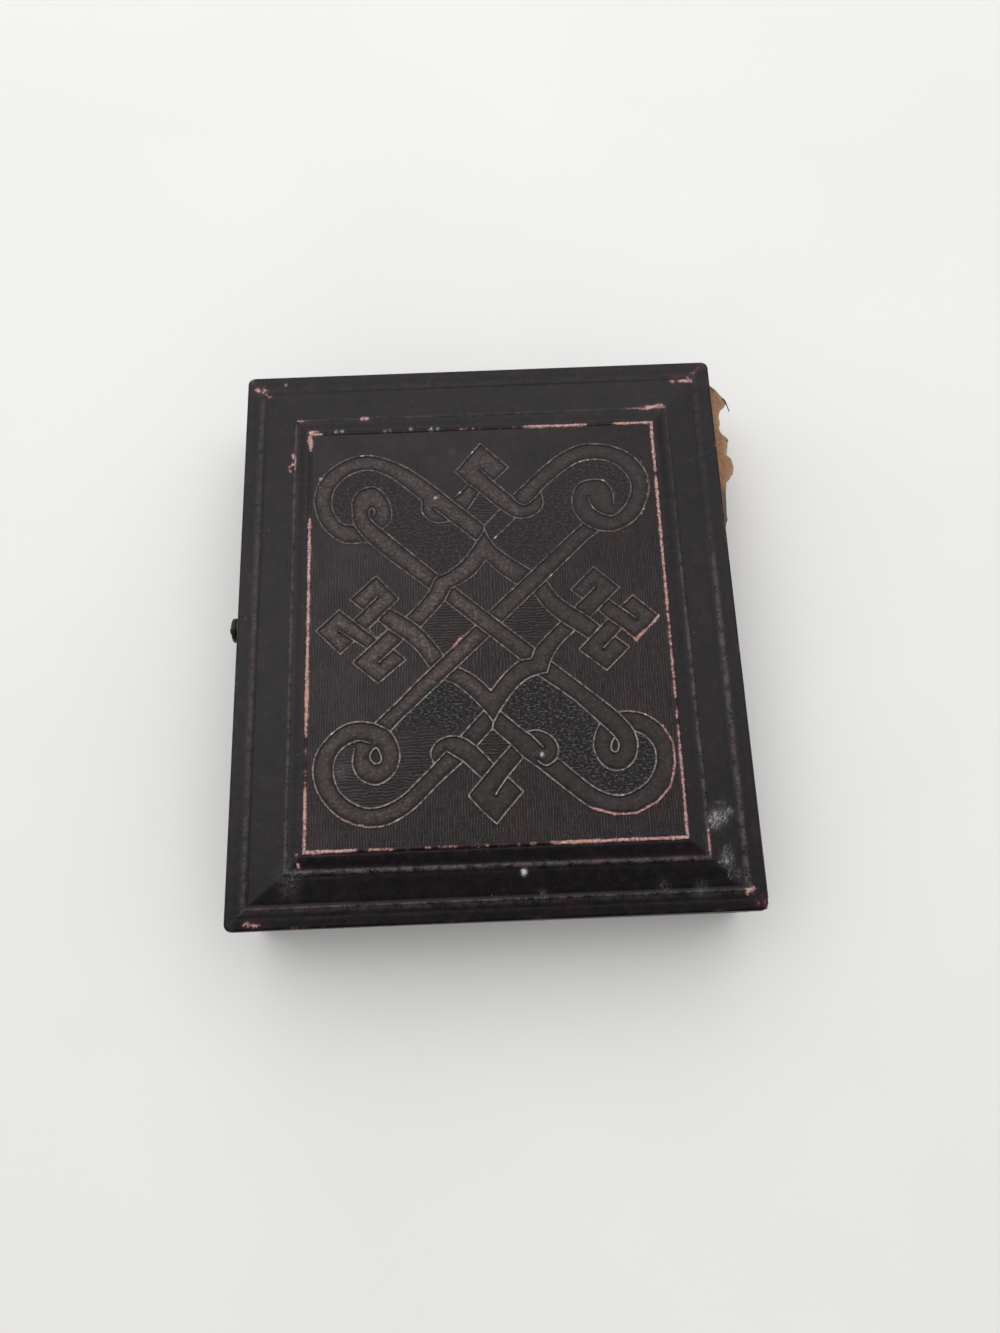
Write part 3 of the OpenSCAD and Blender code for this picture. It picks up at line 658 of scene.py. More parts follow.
def cover(name, fine, pitch, seed):
    xs, ys = inset_lines(HW, fine, pitch), inset_lines(HL, fine, pitch)
    nx, ny = len(xs), len(ys)
    X, Y = np.meshgrid(xs, ys)
    a = np.clip((np.abs(X) - (HW - RC)) / RC, 0, 1)
    b = np.clip((np.abs(Y) - (HL - RC)) / RC, 0, 1)
    corner = (a > 0) & (b > 0)
    u, v = a * np.sqrt(1 - b * b / 2), b * np.sqrt(1 - a * a / 2)
    d = np.minimum(HW - np.abs(X), HL - np.abs(Y))
    d = np.where(corner, RC * (1 - np.hypot(u, v)), d)
    X = np.where(corner, np.sign(X) * (HW - RC + u * RC), X)
    Y = np.where(corner, np.sign(Y) * (HL - RC + v * RC), Y)
    d = np.maximum(d, 0)
    X0, Y0 = X, Y
    if fine:
        X, Y = skew(X, Y, d)
    wav = 0.07 * (fbm(X, Y, 2.5, seed + 1, 2) - 0.5)      # the moulding lines wander a little
    dd = np.where(d > 1.2, d + wav * smoothstep(1.2, 1.9, d), d)
    side_x = HW - np.abs(X0) < HL - np.abs(Y0)
    along = np.where(side_x, Y, X)
    sharp = np.where(side_x, np.where(X < 0, 0.55, 0.85 - 0.5 * smoothstep(2, 22, Y)), np.where(Y > 0, 0.24, 1.0))
    sharp = sharp * (0.35 + 0.9 * vnoise(along, side_x * 9 + 4 * np.sign(X) + 2 * np.sign(Y), 5.0, seed + 8))
    z = profile(dd, np.minimum(sharp, 1.1))
    z += 0.05 * (fbm(X, Y, 9, seed + 2) - 0.5) * smoothstep(0.3, 1.5, d)
    z += 0.025 * (fbm(X, Y, 1.1, seed + 3, 2) - 0.5) * smoothstep(0.5, 1.0, d)
    inside = smoothstep(11.58, 11.75, d)
    z += inside * pressed(X, Y)
    D = np.where(d > 11.0, lookup(DIST, X, Y), 9.0)
    at = {"em_d": np.minimum(D, 1.6)}
    pan = (d > 11.6).astype(float)
    for k in ("strap", "back", "line", "moro", "streak", "deep"):
        at["em_" + k] = lookup(KIND[k], X, Y) * pan
    at["em_edge"] = d
    # tops of the beads and the first ridge, rubbed grey and plum, with a painted highlight whose strength is set side
    # by side
    band_n = 0.45 + 0.9 * fbm(along, side_x * 3 + np.sign(X) + np.sign(Y), 2.2, seed + 25, 3)
    crest_rub_and_highlight = np.exp(-np.abs((dd - 2.75) / 0.42) ** 3) * np.where(side_x, np.where(X > 0, 0.9 - 0.75 * smoothstep(-5, 20, Y), 0.45), np.where(Y > 0, 0.12, 0.25))
    crest_rub_and_highlight = np.maximum(crest_rub_and_highlight, np.exp(-((dd - 3.1) / 0.13) ** 2) * np.where(side_x, 0.2, np.where(Y > 0, 0.15, 0.9)))
    crest_rub_and_highlight = np.maximum(crest_rub_and_highlight, np.exp(-((dd - 8.42) / 0.30) ** 2) * np.where(side_x, np.where(X > 0, 0.9 - 0.6 * smoothstep(-5, 20, Y), 0.7), np.where(Y > 0, 0.35, 1.0)))
    at["em_crest_rub_and_highlight"] = np.clip(crest_rub_and_highlight * band_n * 1.25, 0, 1) * (d < 11)
    # wear
    pos_b = np.where(side_x, np.where(X < 0, table_value(Y, BORDER["l"]), table_value(Y, BORDER["r"])),
                     np.where(Y > 0, table_value(X, BORDER["t"]), table_value(X, BORDER["b"])))
    pos_r = np.where(side_x, np.where(X < 0, table_value(Y, RIDGE["l"]), table_value(Y, RIDGE["r"])),
                     np.where(Y > 0, table_value(X, RIDGE["t"]), table_value(X, RIDGE["b"])))
    patch = vnoise(along, np.sign(X) * 3 + side_x * 7 + np.sign(Y), 1.1, seed + 20)
    patch2 = vnoise(along, np.sign(X) * 3 + side_x * 7 + np.sign(Y), 0.35, seed + 21)
    keep = smoothstep(0.0, 0.30, pos_b - 0.55 * patch - 0.22 * patch2 + 0.10)
    wide = 0.25 + 0.16 * vnoise(along, side_x * 5 + np.sign(X) + 3 * np.sign(Y), 0.9, seed + 22)
    border = np.exp(-(np.abs(dd - 11.32) / wide) ** 2.4) * keep * (0.36 + 0.50 * pos_b)
    keep = smoothstep(0.0, 0.35, pos_r - 0.5 * patch - 0.2 * patch2)
    ridge = 0.62 * np.exp(-((dd - 8.42) / 0.24) ** 2) * keep
    pink = np.maximum(border, ridge)
    for x0, y0, x1, y1, w, s in WORN:
        m = (X > min(x0, x1) - 2) & (X < max(x0, x1) + 2) & (Y > min(y0, y1) - 2) & (Y < max(y0, y1) + 2)
        amp = 0.5 if w > 0.3 else 0.16
        xm = X[m] + amp * (fbm(X[m], Y[m], 0.9, seed + 33, 3) - 0.5)
        ym = Y[m] + amp * (fbm(X[m], Y[m], 0.9, seed + 34, 3) - 0.5)
        ww = w * (0.55 + 1.1 * fbm(X[m], Y[m], 0.8, seed + 35, 2))
        q = np.exp(-(seg_dist(xm, ym, x0, y0, x1, y1) / ww) ** 2)
        q = q * min(s, 0.9) * ((0.35 + 0.75 * smoothstep(0.35, 0.6, fbm(X[m], Y[m], 0.5, seed + 31, 2))) if s < 0.8 else (0.75 + 0.4 * fbm(X[m], Y[m], 0.7, seed + 31, 2)))
        pink[m] = np.maximum(pink[m], q)
    fine_wear = fbm(X, Y, 1.6, seed + 40, 3)
    ridge_line = np.exp(-(D / 0.13) ** 2)
    pink = np.maximum(pink, ridge_line * smoothstep(0.60, 0.78, fine_wear) * 0.55 * pan)
    edge_worn = np.exp(-((d - 0.25) / 0.28) ** 2) * smoothstep(0.58, 0.75, fbm(X, Y, 3.0, seed + 41, 3))
    pink = np.maximum(pink, 0.35 * edge_worn)
    cr = np.hypot(np.abs(X0) - (HW - 0.6), np.abs(Y0) - (HL - 0.6))
    pink = np.maximum(pink, 0.6 * np.exp(-(cr / 0.9) ** 2) * smoothstep(0.35, 0.6, fbm(X, Y, 0.9, seed + 42, 2)))
    at["em_pink"] = pink
    # pale scuffs and scratches, with painted glints on two studs
    rub_and_glint = np.zeros_like(X)
    for sx, sy, r, s in SCUFFS_AND_STUD_GLINTS:
        q = np.hypot(X - sx, (Y - sy) * 0.8)
        rub_and_glint = np.maximum(rub_and_glint, s * np.exp(-(q / r) ** 2) * (0.7 + 0.6 * fbm(X, Y, 0.8, seed + 50, 2)))
    for x0, y0, x1, y1, w, k in SCRATCHES if fine else ():
        m = (X > min(x0, x1) - 1) & (X < max(x0, x1) + 1) & (Y > min(y0, y1) - 1) & (Y < max(y0, y1) + 1)
        wob = 0.22 * (fbm(X[m], Y[m], 0.5, seed + 55, 2) - 0.5)
        q = np.exp(-((seg_dist(X[m] + wob, Y[m], x0, y0, x1, y1)) / (0.8 * w)) ** 2) * 0.70 * k
        rub_and_glint[m] = np.maximum(rub_and_glint[m], q * (0.5 + 0.8 * fbm(X[m], Y[m], 0.4, seed + 56, 2)))
    at["em_rub_and_glint"] = rub_and_glint
    # closed shell: skirt down the side, then back under the top
    top = np.stack([X, Y, BAND + z], -1).reshape(-1, 3)
    idx = np.arange(nx * ny).reshape(ny, nx)
    loop = np.concatenate([idx[0, :-1], idx[:-1, -1], idx[-1, :0:-1], idx[:0:-1, 0]])
    m = len(loop)
    L = top[loop]
    L0 = np.column_stack([X0.ravel(), Y0.ravel()])[loop]
    dirv = L0 - np.clip(L0, [-(HW - RC), -(HL - RC)], [HW - RC, HL - RC])
    nrm = dirv / np.maximum(np.hypot(dirv[:, 0], dirv[:, 1]), 1e-9)[:, None]
    rag = 0.10 * (fbm(L[:, 0] + 3 * L[:, 1], L[:, 1], 2.2, seed + 60, 2) - 0.5)
    rows = []
    for off, zz, k in ((0.035, 17.02, 0), (0.05, 16.86, 0.2), (0.055, 16.66, 1), (0.03, 16.60, 1), (0.0, 16.60, 1)):
        rows.append(np.column_stack([L[:, :2] + nrm * off, zz + k * rag]))
    for ins, zz in ((0.3, 17.15), (0.55, BAND - 0.55), (3.5, BAND - 0.45), (8.2, BAND + 0.16), (10.7, BAND + PANEL - 0.4)):
        bx = np.sign(L0[:, 0]) * np.minimum(np.abs(L0[:, 0]), HW - ins)
        by = np.sign(L0[:, 1]) * np.minimum(np.abs(L0[:, 1]), HL - ins)
        rows.append(np.column_stack([bx, by, np.full(m, zz)]))
    V = np.vstack([top] + rows + [[[0, 0, BAND + PANEL - 0.4]]])
    F = [np.stack([idx[:-1, :-1], idx[:-1, 1:], idx[1:, 1:], idx[1:, :-1]], -1).reshape(-1, 4)]
    prev = loop
    for r in range(len(rows)):
        cur = nx * ny + r * m + np.arange(m)
        F.append(np.stack([prev, cur, np.roll(cur, -1), np.roll(prev, -1)], -1))
        prev = cur
    F.append(np.stack([prev, np.full(m, len(V) - 1), np.roll(prev, -1)], -1))
    extra = len(V) - nx * ny
    for k in at:
        fill = {"em_d": 1.6, "em_edge": 0.0}.get(k, 0.0)
        at[k] = np.concatenate([at[k].ravel(), np.full(extra, fill)])
    return V, F, at

V, F, A = cover("lid", True, 0.16, 100)
lid_cover = mesh_obj("lid_cover_embossed", V, F, attrs=A)
V, F, A = cover("tray", False, 0.25, 300)
V = V * [-1, 1, -1] + [0, 0, 19.0]
V[:, 2] = np.maximum(V[:, 2], 0.0)
A["em_pink"] = A["em_pink"] * 0.6
tray_cover = mesh_obj("tray_cover_embossed", V, F, attrs=A)
for ob, body, node in ((lid_cover, "lid", "lid_cover_leather"), (tray_cover, "tray", "tray_cover_leather")):
    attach(ob, body)
    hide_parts(node)

# ---------------------------------------------------------------- leather round the sides
def outline(off=0.0, step=0.5):
    """points and outward directions round the case, anticlockwise from above"""
    pts, nrm = [], []
    x1, y1 = HW - RC, HL - RC
    for (cx, cy, a0), (ex, ey) in zip(((x1, -y1, -90), (x1, y1, 0), (-x1, y1, 90), (-x1, -y1, 180)),
                                      ((x1, y1), (-x1, y1), (-x1, -y1), (x1, -y1))):
        for a in np.linspace(a0, a0 + 90, 13):
            c, s = math.cos(math.radians(a)), math.sin(math.radians(a))
            pts.append((cx + RC * c, cy + RC * s)); nrm.append((c, s))
        c, s = math.cos(math.radians(a0 + 90)), math.sin(math.radians(a0 + 90))
        p0, p1 = np.array((cx + RC * c, cy + RC * s)), np.array((ex + RC * c, ey + RC * s))
        n = int(np.hypot(*(p1 - p0)) / step)
        for k in range(1, n):
            pts.append(tuple(p0 + (p1 - p0) * k / n)); nrm.append((c, s))
    return np.array(pts) + np.array(nrm) * off, np.array(nrm)

def side_leather(seed):
    """the lid's side leather; the section runs down outside, in over the rim, and back up inside"""
    p, n = outline()
    spine = (p[:, 0] > 39.0) & (np.abs(p[:, 1]) < 43.6)
    rim = np.where(spine, 9.78, 9.53)
    turn = np.where(spine, 0.5, 1.25)
    w = fbm(p[:, 1] * 1.0 + p[:, 0], p[:, 1], 4, seed, 2) - 0.5
    rings = []
    sec = [(0.0, 16.95, 0)]
    for zz in np.linspace(16.6, 10.2, 14):
        sec.append((0.02, zz, 1))
    for off, z, k in sec:
        bulge = 0.05 * (fbm(p[:, 0] + p[:, 1] * 1.3, p[:, 1] * 0 + z * 1.5, 3.0, seed + 3, 3) - 0.6) * k
        rings.append(np.column_stack([p + n * (off + bulge)[:, None], np.full(len(p), z)]))
    for off, up in ((0.0, 0.32), (-0.03, 0.17), (-0.12, 0.06), (-0.25, 0.015), (-0.42, 0.0)):
        rings.append(np.column_stack([p + n * off, rim + up]))
    rings.append(np.column_stack([p - n * (turn - 0.1)[:, None], rim]))
    rings.append(np.column_stack([p - n * (turn + 0.12 * w)[:, None], rim + 0.02]))
    rings.append(np.column_stack([p - n * (turn + 0.12 * w)[:, None], rim + 0.12]))
    rings.append(np.column_stack([p - n * 0.5, rim + 0.15]))
    rings.append(np.column_stack([p - n * 0.48, np.full(len(p), 16.95)]))
    R = np.stack(rings, 1)
    V, F = sweep(R[::-1])
    d = np.abs(np.repeat(p[::-1, 1], R.shape[1]))
    return V, F

V, F = side_leather(500)
V[:, 0], V[:, 1] = skew(V[:, 0], V[:, 1], 0.0)
lid_side = mesh_obj("lid_side_wrap", V, F)
V, F = side_leather(600)
V = V * [1, 1, -1] + [0, 0, 19.0]
F = [f[:, ::-1] for f in F]
tray_side = mesh_obj("tray_side_wrap", V, F)
for ob, body, node in ((lid_side, "lid", "lid_side_leather"), (tray_side, "tray", "tray_side_leather")):
    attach(ob, body)
    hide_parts(node)

# ---------------------------------------------------------------- spine strip and its torn flap
def spine():
    ys = np.linspace(-44.2, 44.2, 240)
    zs = np.concatenate([np.linspace(2.95, 8.3, 12), np.linspace(8.45, 10.55, 15), np.linspace(10.7, 16.05, 12)])
    Y, Z = np.meshgrid(ys, zs)
    end = 0.25 * (fbm(Y, Y * 0, 5, 71, 2) - 0.5)
    Zs = Z + np.where(Z < 9.5, -end * smoothstep(6, 3, Z), end * smoothstep(13, 16, Z))
    Zs = np.clip(Zs, 2.9, 16.1)
    edge = np.minimum(np.minimum(Zs - 2.9, 16.1 - Zs), 44.3 - np.abs(Y))
    torn = smoothstep(15.5, 18.5, Y + 3.0 * (fbm(Y, Z, 3, 72, 2) - 0.5)) * smoothstep(45, 42.5, Y)
    out = 40.12 - 0.10 * (1 - smoothstep(0, 0.35, edge)) - 0.12 * torn * fbm(Y, Z, 1.2, 73, 3)
    out -= 0.05 * np.exp(-((Z - 9.5) / 0.25) ** 2)
    back = np.full_like(out, 39.74)
    n, m = Y.shape
    V = np.vstack([np.stack([out, Y, Zs], -1).reshape(-1, 3), np.stack([back, Y, Zs], -1).reshape(-1, 3)])
    i = np.arange(n * m).reshape(n, m)
    j = i + n * m
    F = [np.stack([i[:-1, :-1], i[:-1, 1:], i[1:, 1:], i[1:, :-1]], -1).reshape(-1, 4),
         np.stack([j[:-1, :-1], j[1:, :-1], j[1:, 1:], j[:-1, 1:]], -1).reshape(-1, 4)]
    ring = np.concatenate([i[0, :-1], i[:-1, -1], i[-1, :0:-1], i[:0:-1, 0]])
    F.append(np.stack([ring, ring + n * m, np.roll(ring, -1) + n * m, np.roll(ring, -1)], -1))
    return V, F, np.concatenate([torn.ravel(), torn.ravel()])

V, F, A = spine()
spine_ob = mesh_obj("spine_strip", V, F, attrs={"em_torn": A})
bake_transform(spine_ob)
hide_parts("spine_leather")

FLAP = [(16.2, 40.3), (17.07, 40.95), (17.7, 41.15), (18.4, 41.43), (19.95, 41.47), (23.13, 41.67), (25.44, 42.12), (26.18, 42.7),
        (27.29, 43.48), (28.2, 43.78), (28.97, 43.84), (29.8, 43.72), (30.36, 43.52), (30.8, 43.0), (31.03, 42.79), (31.9, 42.95),
        (32.73, 43.15), (33.4, 43.2), (33.77, 43.44), (34.1, 43.4), (34.64, 42.89), (34.96, 42.1), (36.08, 41.91), (37.14, 42.2),
        (38.1, 42.05), (39.0, 42.2), (39.52, 42.47), (40.35, 43.27), (41.0, 43.7), (41.6, 43.75), (42.15, 43.62), (42.82, 42.86),
        (43.4, 42.3), (43.78, 41.97), (43.99, 41.5), (44.4, 40.9), (44.8, 40.3)]
THREAD = [(43.3, 42.25, 11.95), (43.70, 41.75, 11.80), (43.99, 41.07, 11.61), (44.21, 40.37, 11.51), (44.38, 39.85, 11.45)]

def flap():
    """a thin torn sheet leaning out from the spine strip"""
    p = np.array(FLAP)
    ys = np.linspace(16.2, 44.8, 320)
    ox = np.interp(ys, p[:, 0], p[:, 1]) + 0.14 * (fbm(ys, ys * 0, 0.5, 81, 3) - 0.5)
    ox = np.maximum(ox, 40.2)
    n = 22
    t = np.linspace(0, 1, n)[None, :]
    w = (ox - 40.02)[:, None]
    X = 40.02 + w * t
    curl = 0.45 * (fbm(ys, ys * 0, 4.5, 82, 2) - 0.5)[:, None]
    Z = 13.4 - 0.45 * (X - 40.02) + curl * t * (1 - t) * w
    Z += 0.16 * (fbm(ys[:, None] + 0 * t, X, 0.9, 83, 3) - 0.5) * smoothstep(0, 0.3, t)
    Y = ys[:, None] + 0 * t + 0.25 * (t - 0.5) * (fbm(ys, ys * 0, 2.2, 84, 2) - 0.5)[:, None]
    Y = np.clip(Y, -45.9, 45.4)
    th = 0.30 * (1 - 0.75 * t ** 3) + 0 * Y
    th = th * (0.8 + 0.4 * fbm(Y, X, 0.8, 85, 2))
    top, bot = np.stack([X, Y, Z], -1), np.stack([X - 0.15 * th, Y, Z - th], -1)
    k, m = X.shape
    V = np.vstack([top.reshape(-1, 3), bot.reshape(-1, 3)])
    i = np.arange(k * m).reshape(k, m)
    j = i + k * m
    F = [np.stack([i[:-1, :-1], i[:-1, 1:], i[1:, 1:], i[1:, :-1]], -1).reshape(-1, 4)[:, ::-1],
         np.stack([j[:-1, :-1], j[1:, :-1], j[1:, 1:], j[:-1, 1:]], -1).reshape(-1, 4)[:, ::-1]]
    ring = np.concatenate([i[0, :-1], i[:-1, -1], i[-1, :0:-1], i[:0:-1, 0]])[::-1]
    F.append(np.stack([ring, ring + k * m, np.roll(ring, -1) + k * m, np.roll(ring, -1)], -1))
    edge = smoothstep(0.55, 1.0, t) + 0 * Y
    knob = np.maximum(np.exp(-(np.hypot(X - 43.3, Y - 33.7) / 0.45) ** 2), np.exp(-(np.hypot(X - 41.4, Y - 43.9) / 0.8) ** 2))
    low = np.maximum(np.maximum(smoothstep(26, 22.5, Y), knob), 0.9 * smoothstep(19.6, 18.6, Y))
    return V, F, np.concatenate([edge.ravel()] * 2), np.concatenate([low.ravel()] * 2)

V, F, A, B = flap()
q = np.array(THREAD)
u = np.linspace(0, len(q) - 1, 22)
q = np.column_stack([np.interp(u, np.arange(len(q)), q[:, k]) for k in range(3)])
tan = np.gradient(q, axis=0)
tan /= np.linalg.norm(tan, axis=1)[:, None]
side = np.cross(tan, [0, 0, 1.0])
side /= np.linalg.norm(side, axis=1)[:, None]
up = np.cross(side, tan)
ang = np.arange(8) / 8 * 2 * math.pi
rr = (0.15 - 0.07 * u / u[-1]) * (0.8 + 0.4 * fbm(u * 1.3, u * 0, 1.0, 88, 2))
rings = q[:, None] + rr[:, None, None] * (np.cos(ang)[None, :, None] * side[:, None] + np.sin(ang)[None, :, None] * up[:, None])
tv, tf = sweep(rings, False, True, cap=True)
n0 = len(V)
V, F = join([(V, F), (tv, tf)])
A, B = np.concatenate([A, np.zeros(len(tv))]), np.concatenate([B, np.full(len(tv), 0.9)])
flap_ob = mesh_obj("spine_torn_flap", V, F, attrs={"em_fuzz": A, "em_low": B})
flap_ob.data.flip_normals()
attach(flap_ob, "lid")
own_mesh(flap_ob)

# ---------------------------------------------------------------- leather finishes
def leather_base(g, warm=1.0):
    """old dark leather: colour, fine grain"""
    big = g.noise(0.11, 3, 0.6)
    mid = g.noise(0.9, 3, 0.6)
    fine = g.noise(7.0, 2, 0.6)
    c = g.mix(g.ss(big, 0.35, 0.7), (0.0075, 0.0056, 0.0068), (0.0130, 0.0074, 0.0105))
    c = g.mix(g.ss(mid, 0.3, 0.75, 0, 0.6), c, (0.0105, 0.0080, 0.0090))
    c = g.mix(g.ss(fine, 0.35, 0.75, 0, 0.5), c, (0.0170, 0.0130, 0.0145))
    return c, fine

def embossed_leather(name, strength=1.0):
    g = Nodes(name)
    x, y, z = g.sep()
    flat = g.comb(x, y, 0.0)
    d = g.attr("em_d")
    strap, back, line, moro = (g.attr("em_" + k) for k in ("strap", "back", "line", "moro"))
    streak, deep = g.attr("em_streak"), g.attr("em_deep")
    pink, rub_and_glint, edge = g.attr("em_pink"), g.attr("em_rub_and_glint"), g.attr("em_edge")
    pan = g.ss(edge, 11.58, 11.75)
    big = g.noise(0.09, 3, 0.6)
    hue = g.noise(0.16, 4, 0.65, vec=g.vadd(flat, (31.0, 7.0, 0.0)))
    mid = g.noise(0.75, 4, 0.65)
    grit = g.noise(3.2, 3, 0.65)
    fine = g.noise(8.0, 2, 0.6)
    # the smooth moulding: near black, plum and brown
    c = g.mix(g.ss(hue, 0.34, 0.66), (0.0068, 0.0055, 0.0062), (0.0125, 0.0068, 0.0098))
    tone = g.noise(0.30, 3, 0.7, vec=g.vadd(g.P, (11.0, 23.0, 5.0)))
    c = g.mix(g.ss(tone, 0.52, 0.66, 0, 0.85), c, (0.0220, 0.0085, 0.0165))
    c = g.mix(g.ss(tone, 0.47, 0.34, 0, 0.85), c, (0.0075, 0.0098, 0.0100))
    c = g.mix(g.ss(mid, 0.42, 0.72, 0, 0.65), c, (0.0160, 0.0110, 0.0130))
    rub2 = g.noise(0.75, 5, 0.8, vec=g.vadd(g.P, (2.0, 41.0, 7.0)))
    c = g.mix(g.ss(rub2, 0.56, 0.74, 0, 0.7), c, (0.0430, 0.0290, 0.0320))
    c = g.mix(g.ss(grit, 0.50, 0.80, 0, 0.55), c, (0.0260, 0.0185, 0.0205))
    # painted shade: the moulding darker towards the near edge, which faces away from the light
    c = g.mix(g.ss(y, -34.0, -40.0, 0.20, 0.45), c, (0.0, 0.0, 0.0))
    # the panel is drier and browner
    pc = g.mix(g.ss(hue, 0.36, 0.64), (0.0125, 0.0125, 0.0112), (0.0300, 0.0125, 0.0145))
    pc = g.mix(g.ss(mid, 0.30, 0.70, 0, 0.7), pc, (0.0090, 0.0062, 0.0068))
    pc = g.mix(g.ss(grit, 0.42, 0.72, 0, 0.60), pc, (0.0400, 0.0270, 0.0285))
    pc = g.mix(g.ss(grit, 0.46, 0.26, 0, 0.55), pc, (0.0050, 0.0036, 0.0040))
    nw = g.mul(g.ss(g.add(x, g.mul(y, -0.5)), 12.0, -22.0), g.ss(hue, 0.38, 0.60, 0.35, 1.0))
    pc = g.mix(g.mul(nw, g.ss(mid, 0.30, 0.62, 0.22, 0.75)), pc, (0.0420, 0.0330, 0.0360))
    c = g.mix(pan, c, pc)
    c = g.mix(g.mul(pan, g.ss(g.add(y, g.mul(x, 0.25)), 3.0, 16.0, 0.12, 0.36)), c, (0.0050, 0.0038, 0.0042))
    # straps: rubbed pale in blotches on their faces, with a painted highlight down their middles and painted shade
    # along their edges
    face = g.mul(strap, g.ss(d, 0.18, 0.42))
    bl = g.ss(g.add(g.mul(g.noise(1.15, 3, 0.65), 0.75), g.mul(grit, 0.35)), 0.44, 0.68)
    gr = g.noise(2.3, 4, 0.80, vec=g.vadd(g.P, (5.0, 3.0, 0.0)))
    west = g.ss(g.add(x, g.add(g.mul(y, -0.35), g.mul(g.math("SUBTRACT", hue, 0.5), 30.0))), -6.0, 10.0, 1.0, 0.30)
    soft = g.noise(0.8, 4, 0.72, vec=g.vadd(g.P, (17.0, 3.0, 0.0)))
    # painted highlight down the middle of each strap, broken up in blotches like rubbed leather
    strap_rub_and_highlight = g.mul(strap, g.ss(g.add(d, g.add(g.mul(g.math("SUBTRACT", gr, 0.5), 0.9), g.mul(g.math("SUBTRACT", soft, 0.5), 1.1))), 0.20, 1.25))
    strap_rub_and_highlight = g.mul(strap_rub_and_highlight, g.mul(g.ss(y, 2.0, 15.0, 0.92, 0.55), g.ss(y, -20.0, -4.0, 0.52, 1.0)))
    c = g.mix(g.mul(strap, 0.85), c, (0.0155, 0.0112, 0.0115))
    c = g.mix(g.mul(strap_rub_and_highlight, 0.80), c, g.mix(g.ss(hue, 0.40, 0.60), (0.0285, 0.0215, 0.0205), (0.0370, 0.0220, 0.0230)))
    c = g.mix(g.mul(g.mul(strap_rub_and_highlight, g.ss(west, 0.30, 1.0, 0.15, 1.0, "LINEAR")), 0.75), c, (0.0720, 0.0500, 0.0500))
    c = g.mix(g.mul(strap_rub_and_highlight, g.ss(soft, 0.52, 0.36, 0, 0.60)), c, (0.0170, 0.0125, 0.0130))
    c = g.mix(g.mul(strap_rub_and_highlight, g.mul(g.ss(soft, 0.52, 0.68, 0, 0.45), g.mad(west, 0.6, 0.4))), c, (0.0960, 0.0700, 0.0690))
    c = g.mix(g.mul(strap_rub_and_highlight, g.mul(g.mul(g.ss(gr, 0.51, 0.64), west), 0.80)), c, (0.2000, 0.1520, 0.1460))
    c = g.mix(g.mul(face, g.mul(g.mul(g.ss(gr, 0.47, 0.36), g.mad(west, 0.5, 0.2)), 0.85)), c, (0.0110, 0.0080, 0.0086))
    c = g.mix(g.mul(face, g.mul(bl, 0.25)), c, (0.0600, 0.0440, 0.0450))
    # painted shade in the valley along each strap's edge, beside the raised outline
    c = g.mix(g.mul(g.mul(strap, g.mul(g.ss(d, 0.10, 0.20), g.ss(d, 0.50, 0.26))), 0.75), c, (0.0042, 0.0030, 0.0034))
    # painted shade in the sunk cells of the lower scrolls
    c = g.mix(g.mul(deep, 0.5), c, (0.0060, 0.0045, 0.0050))
    # pressed ribs on the ground, lines and grain in the cells
    wob = g.noise(0.5, 2, 0.5, vec=flat)
    u = g.add(x, g.mul(wob, 0.5))
    rib = g.math("SINE", g.mul(u, 2 * math.pi / 0.42))
    brk = g.ss(g.noise(1.0, 4, 0.75, vec=flat, stretch=(2.2, 0.45, 1)), 0.36, 0.62)
    north = g.ss(y, 8.0, 16.0, 1.0, 0.35)
    ribs = g.mul(g.mul(rib, brk), g.mul(g.mul(back, north), pan))
    v = g.add(y, g.mul(g.noise(0.7, 2, 0.5, vec=flat), 0.9))
    hl = g.mul(g.math("SINE", g.mul(v, 2 * math.pi / 0.48)), g.ss(g.noise(1.0, 3, 0.7, vec=flat, stretch=(0.4, 2.6, 1)), 0.36, 0.58))
    hl = g.mul(hl, line)
    vs = g.mul(g.mul(g.math("SINE", g.mul(g.add(x, g.mul(wob, 0.9)), 2 * math.pi / 0.52)), brk), streak)
    lines = g.add(g.add(ribs, hl), vs)
    c = g.mix(g.ss(lines, 0.05, 0.85, 0, 0.62), c, (0.0640, 0.0480, 0.0490))
    c = g.mix(g.ss(lines, 0.0, -0.80, 0, 0.60), c, (0.0046, 0.0032, 0.0036))
    mo = g.noise(2.6, 3, 0.72, vec=flat, stretch=(0.70, 1.35, 1))
    mm = g.mul(moro, g.ss(mo, 0.38, 0.62, -1, 1, "LINEAR"))
    c = g.mix(g.mul(moro, 0.75), c, g.mix(g.ss(g.add(y, g.mul(g.math("SUBTRACT", hue, 0.5), 16.0)), -8.0, 10.0), (0.0155, 0.0138, 0.0142), (0.0310, 0.0255, 0.0268)))
    c = g.mix(g.ss(mm, 0.10, 1.0, 0, 0.60), c, g.mix(g.ss(y, -6.0, 10.0), (0.1250, 0.1180, 0.1200), (0.0700, 0.0610, 0.0620)))
    c = g.mix(g.ss(mm, 0.0, -1.0, 0, 0.55), c, (0.0060, 0.0052, 0.0058))
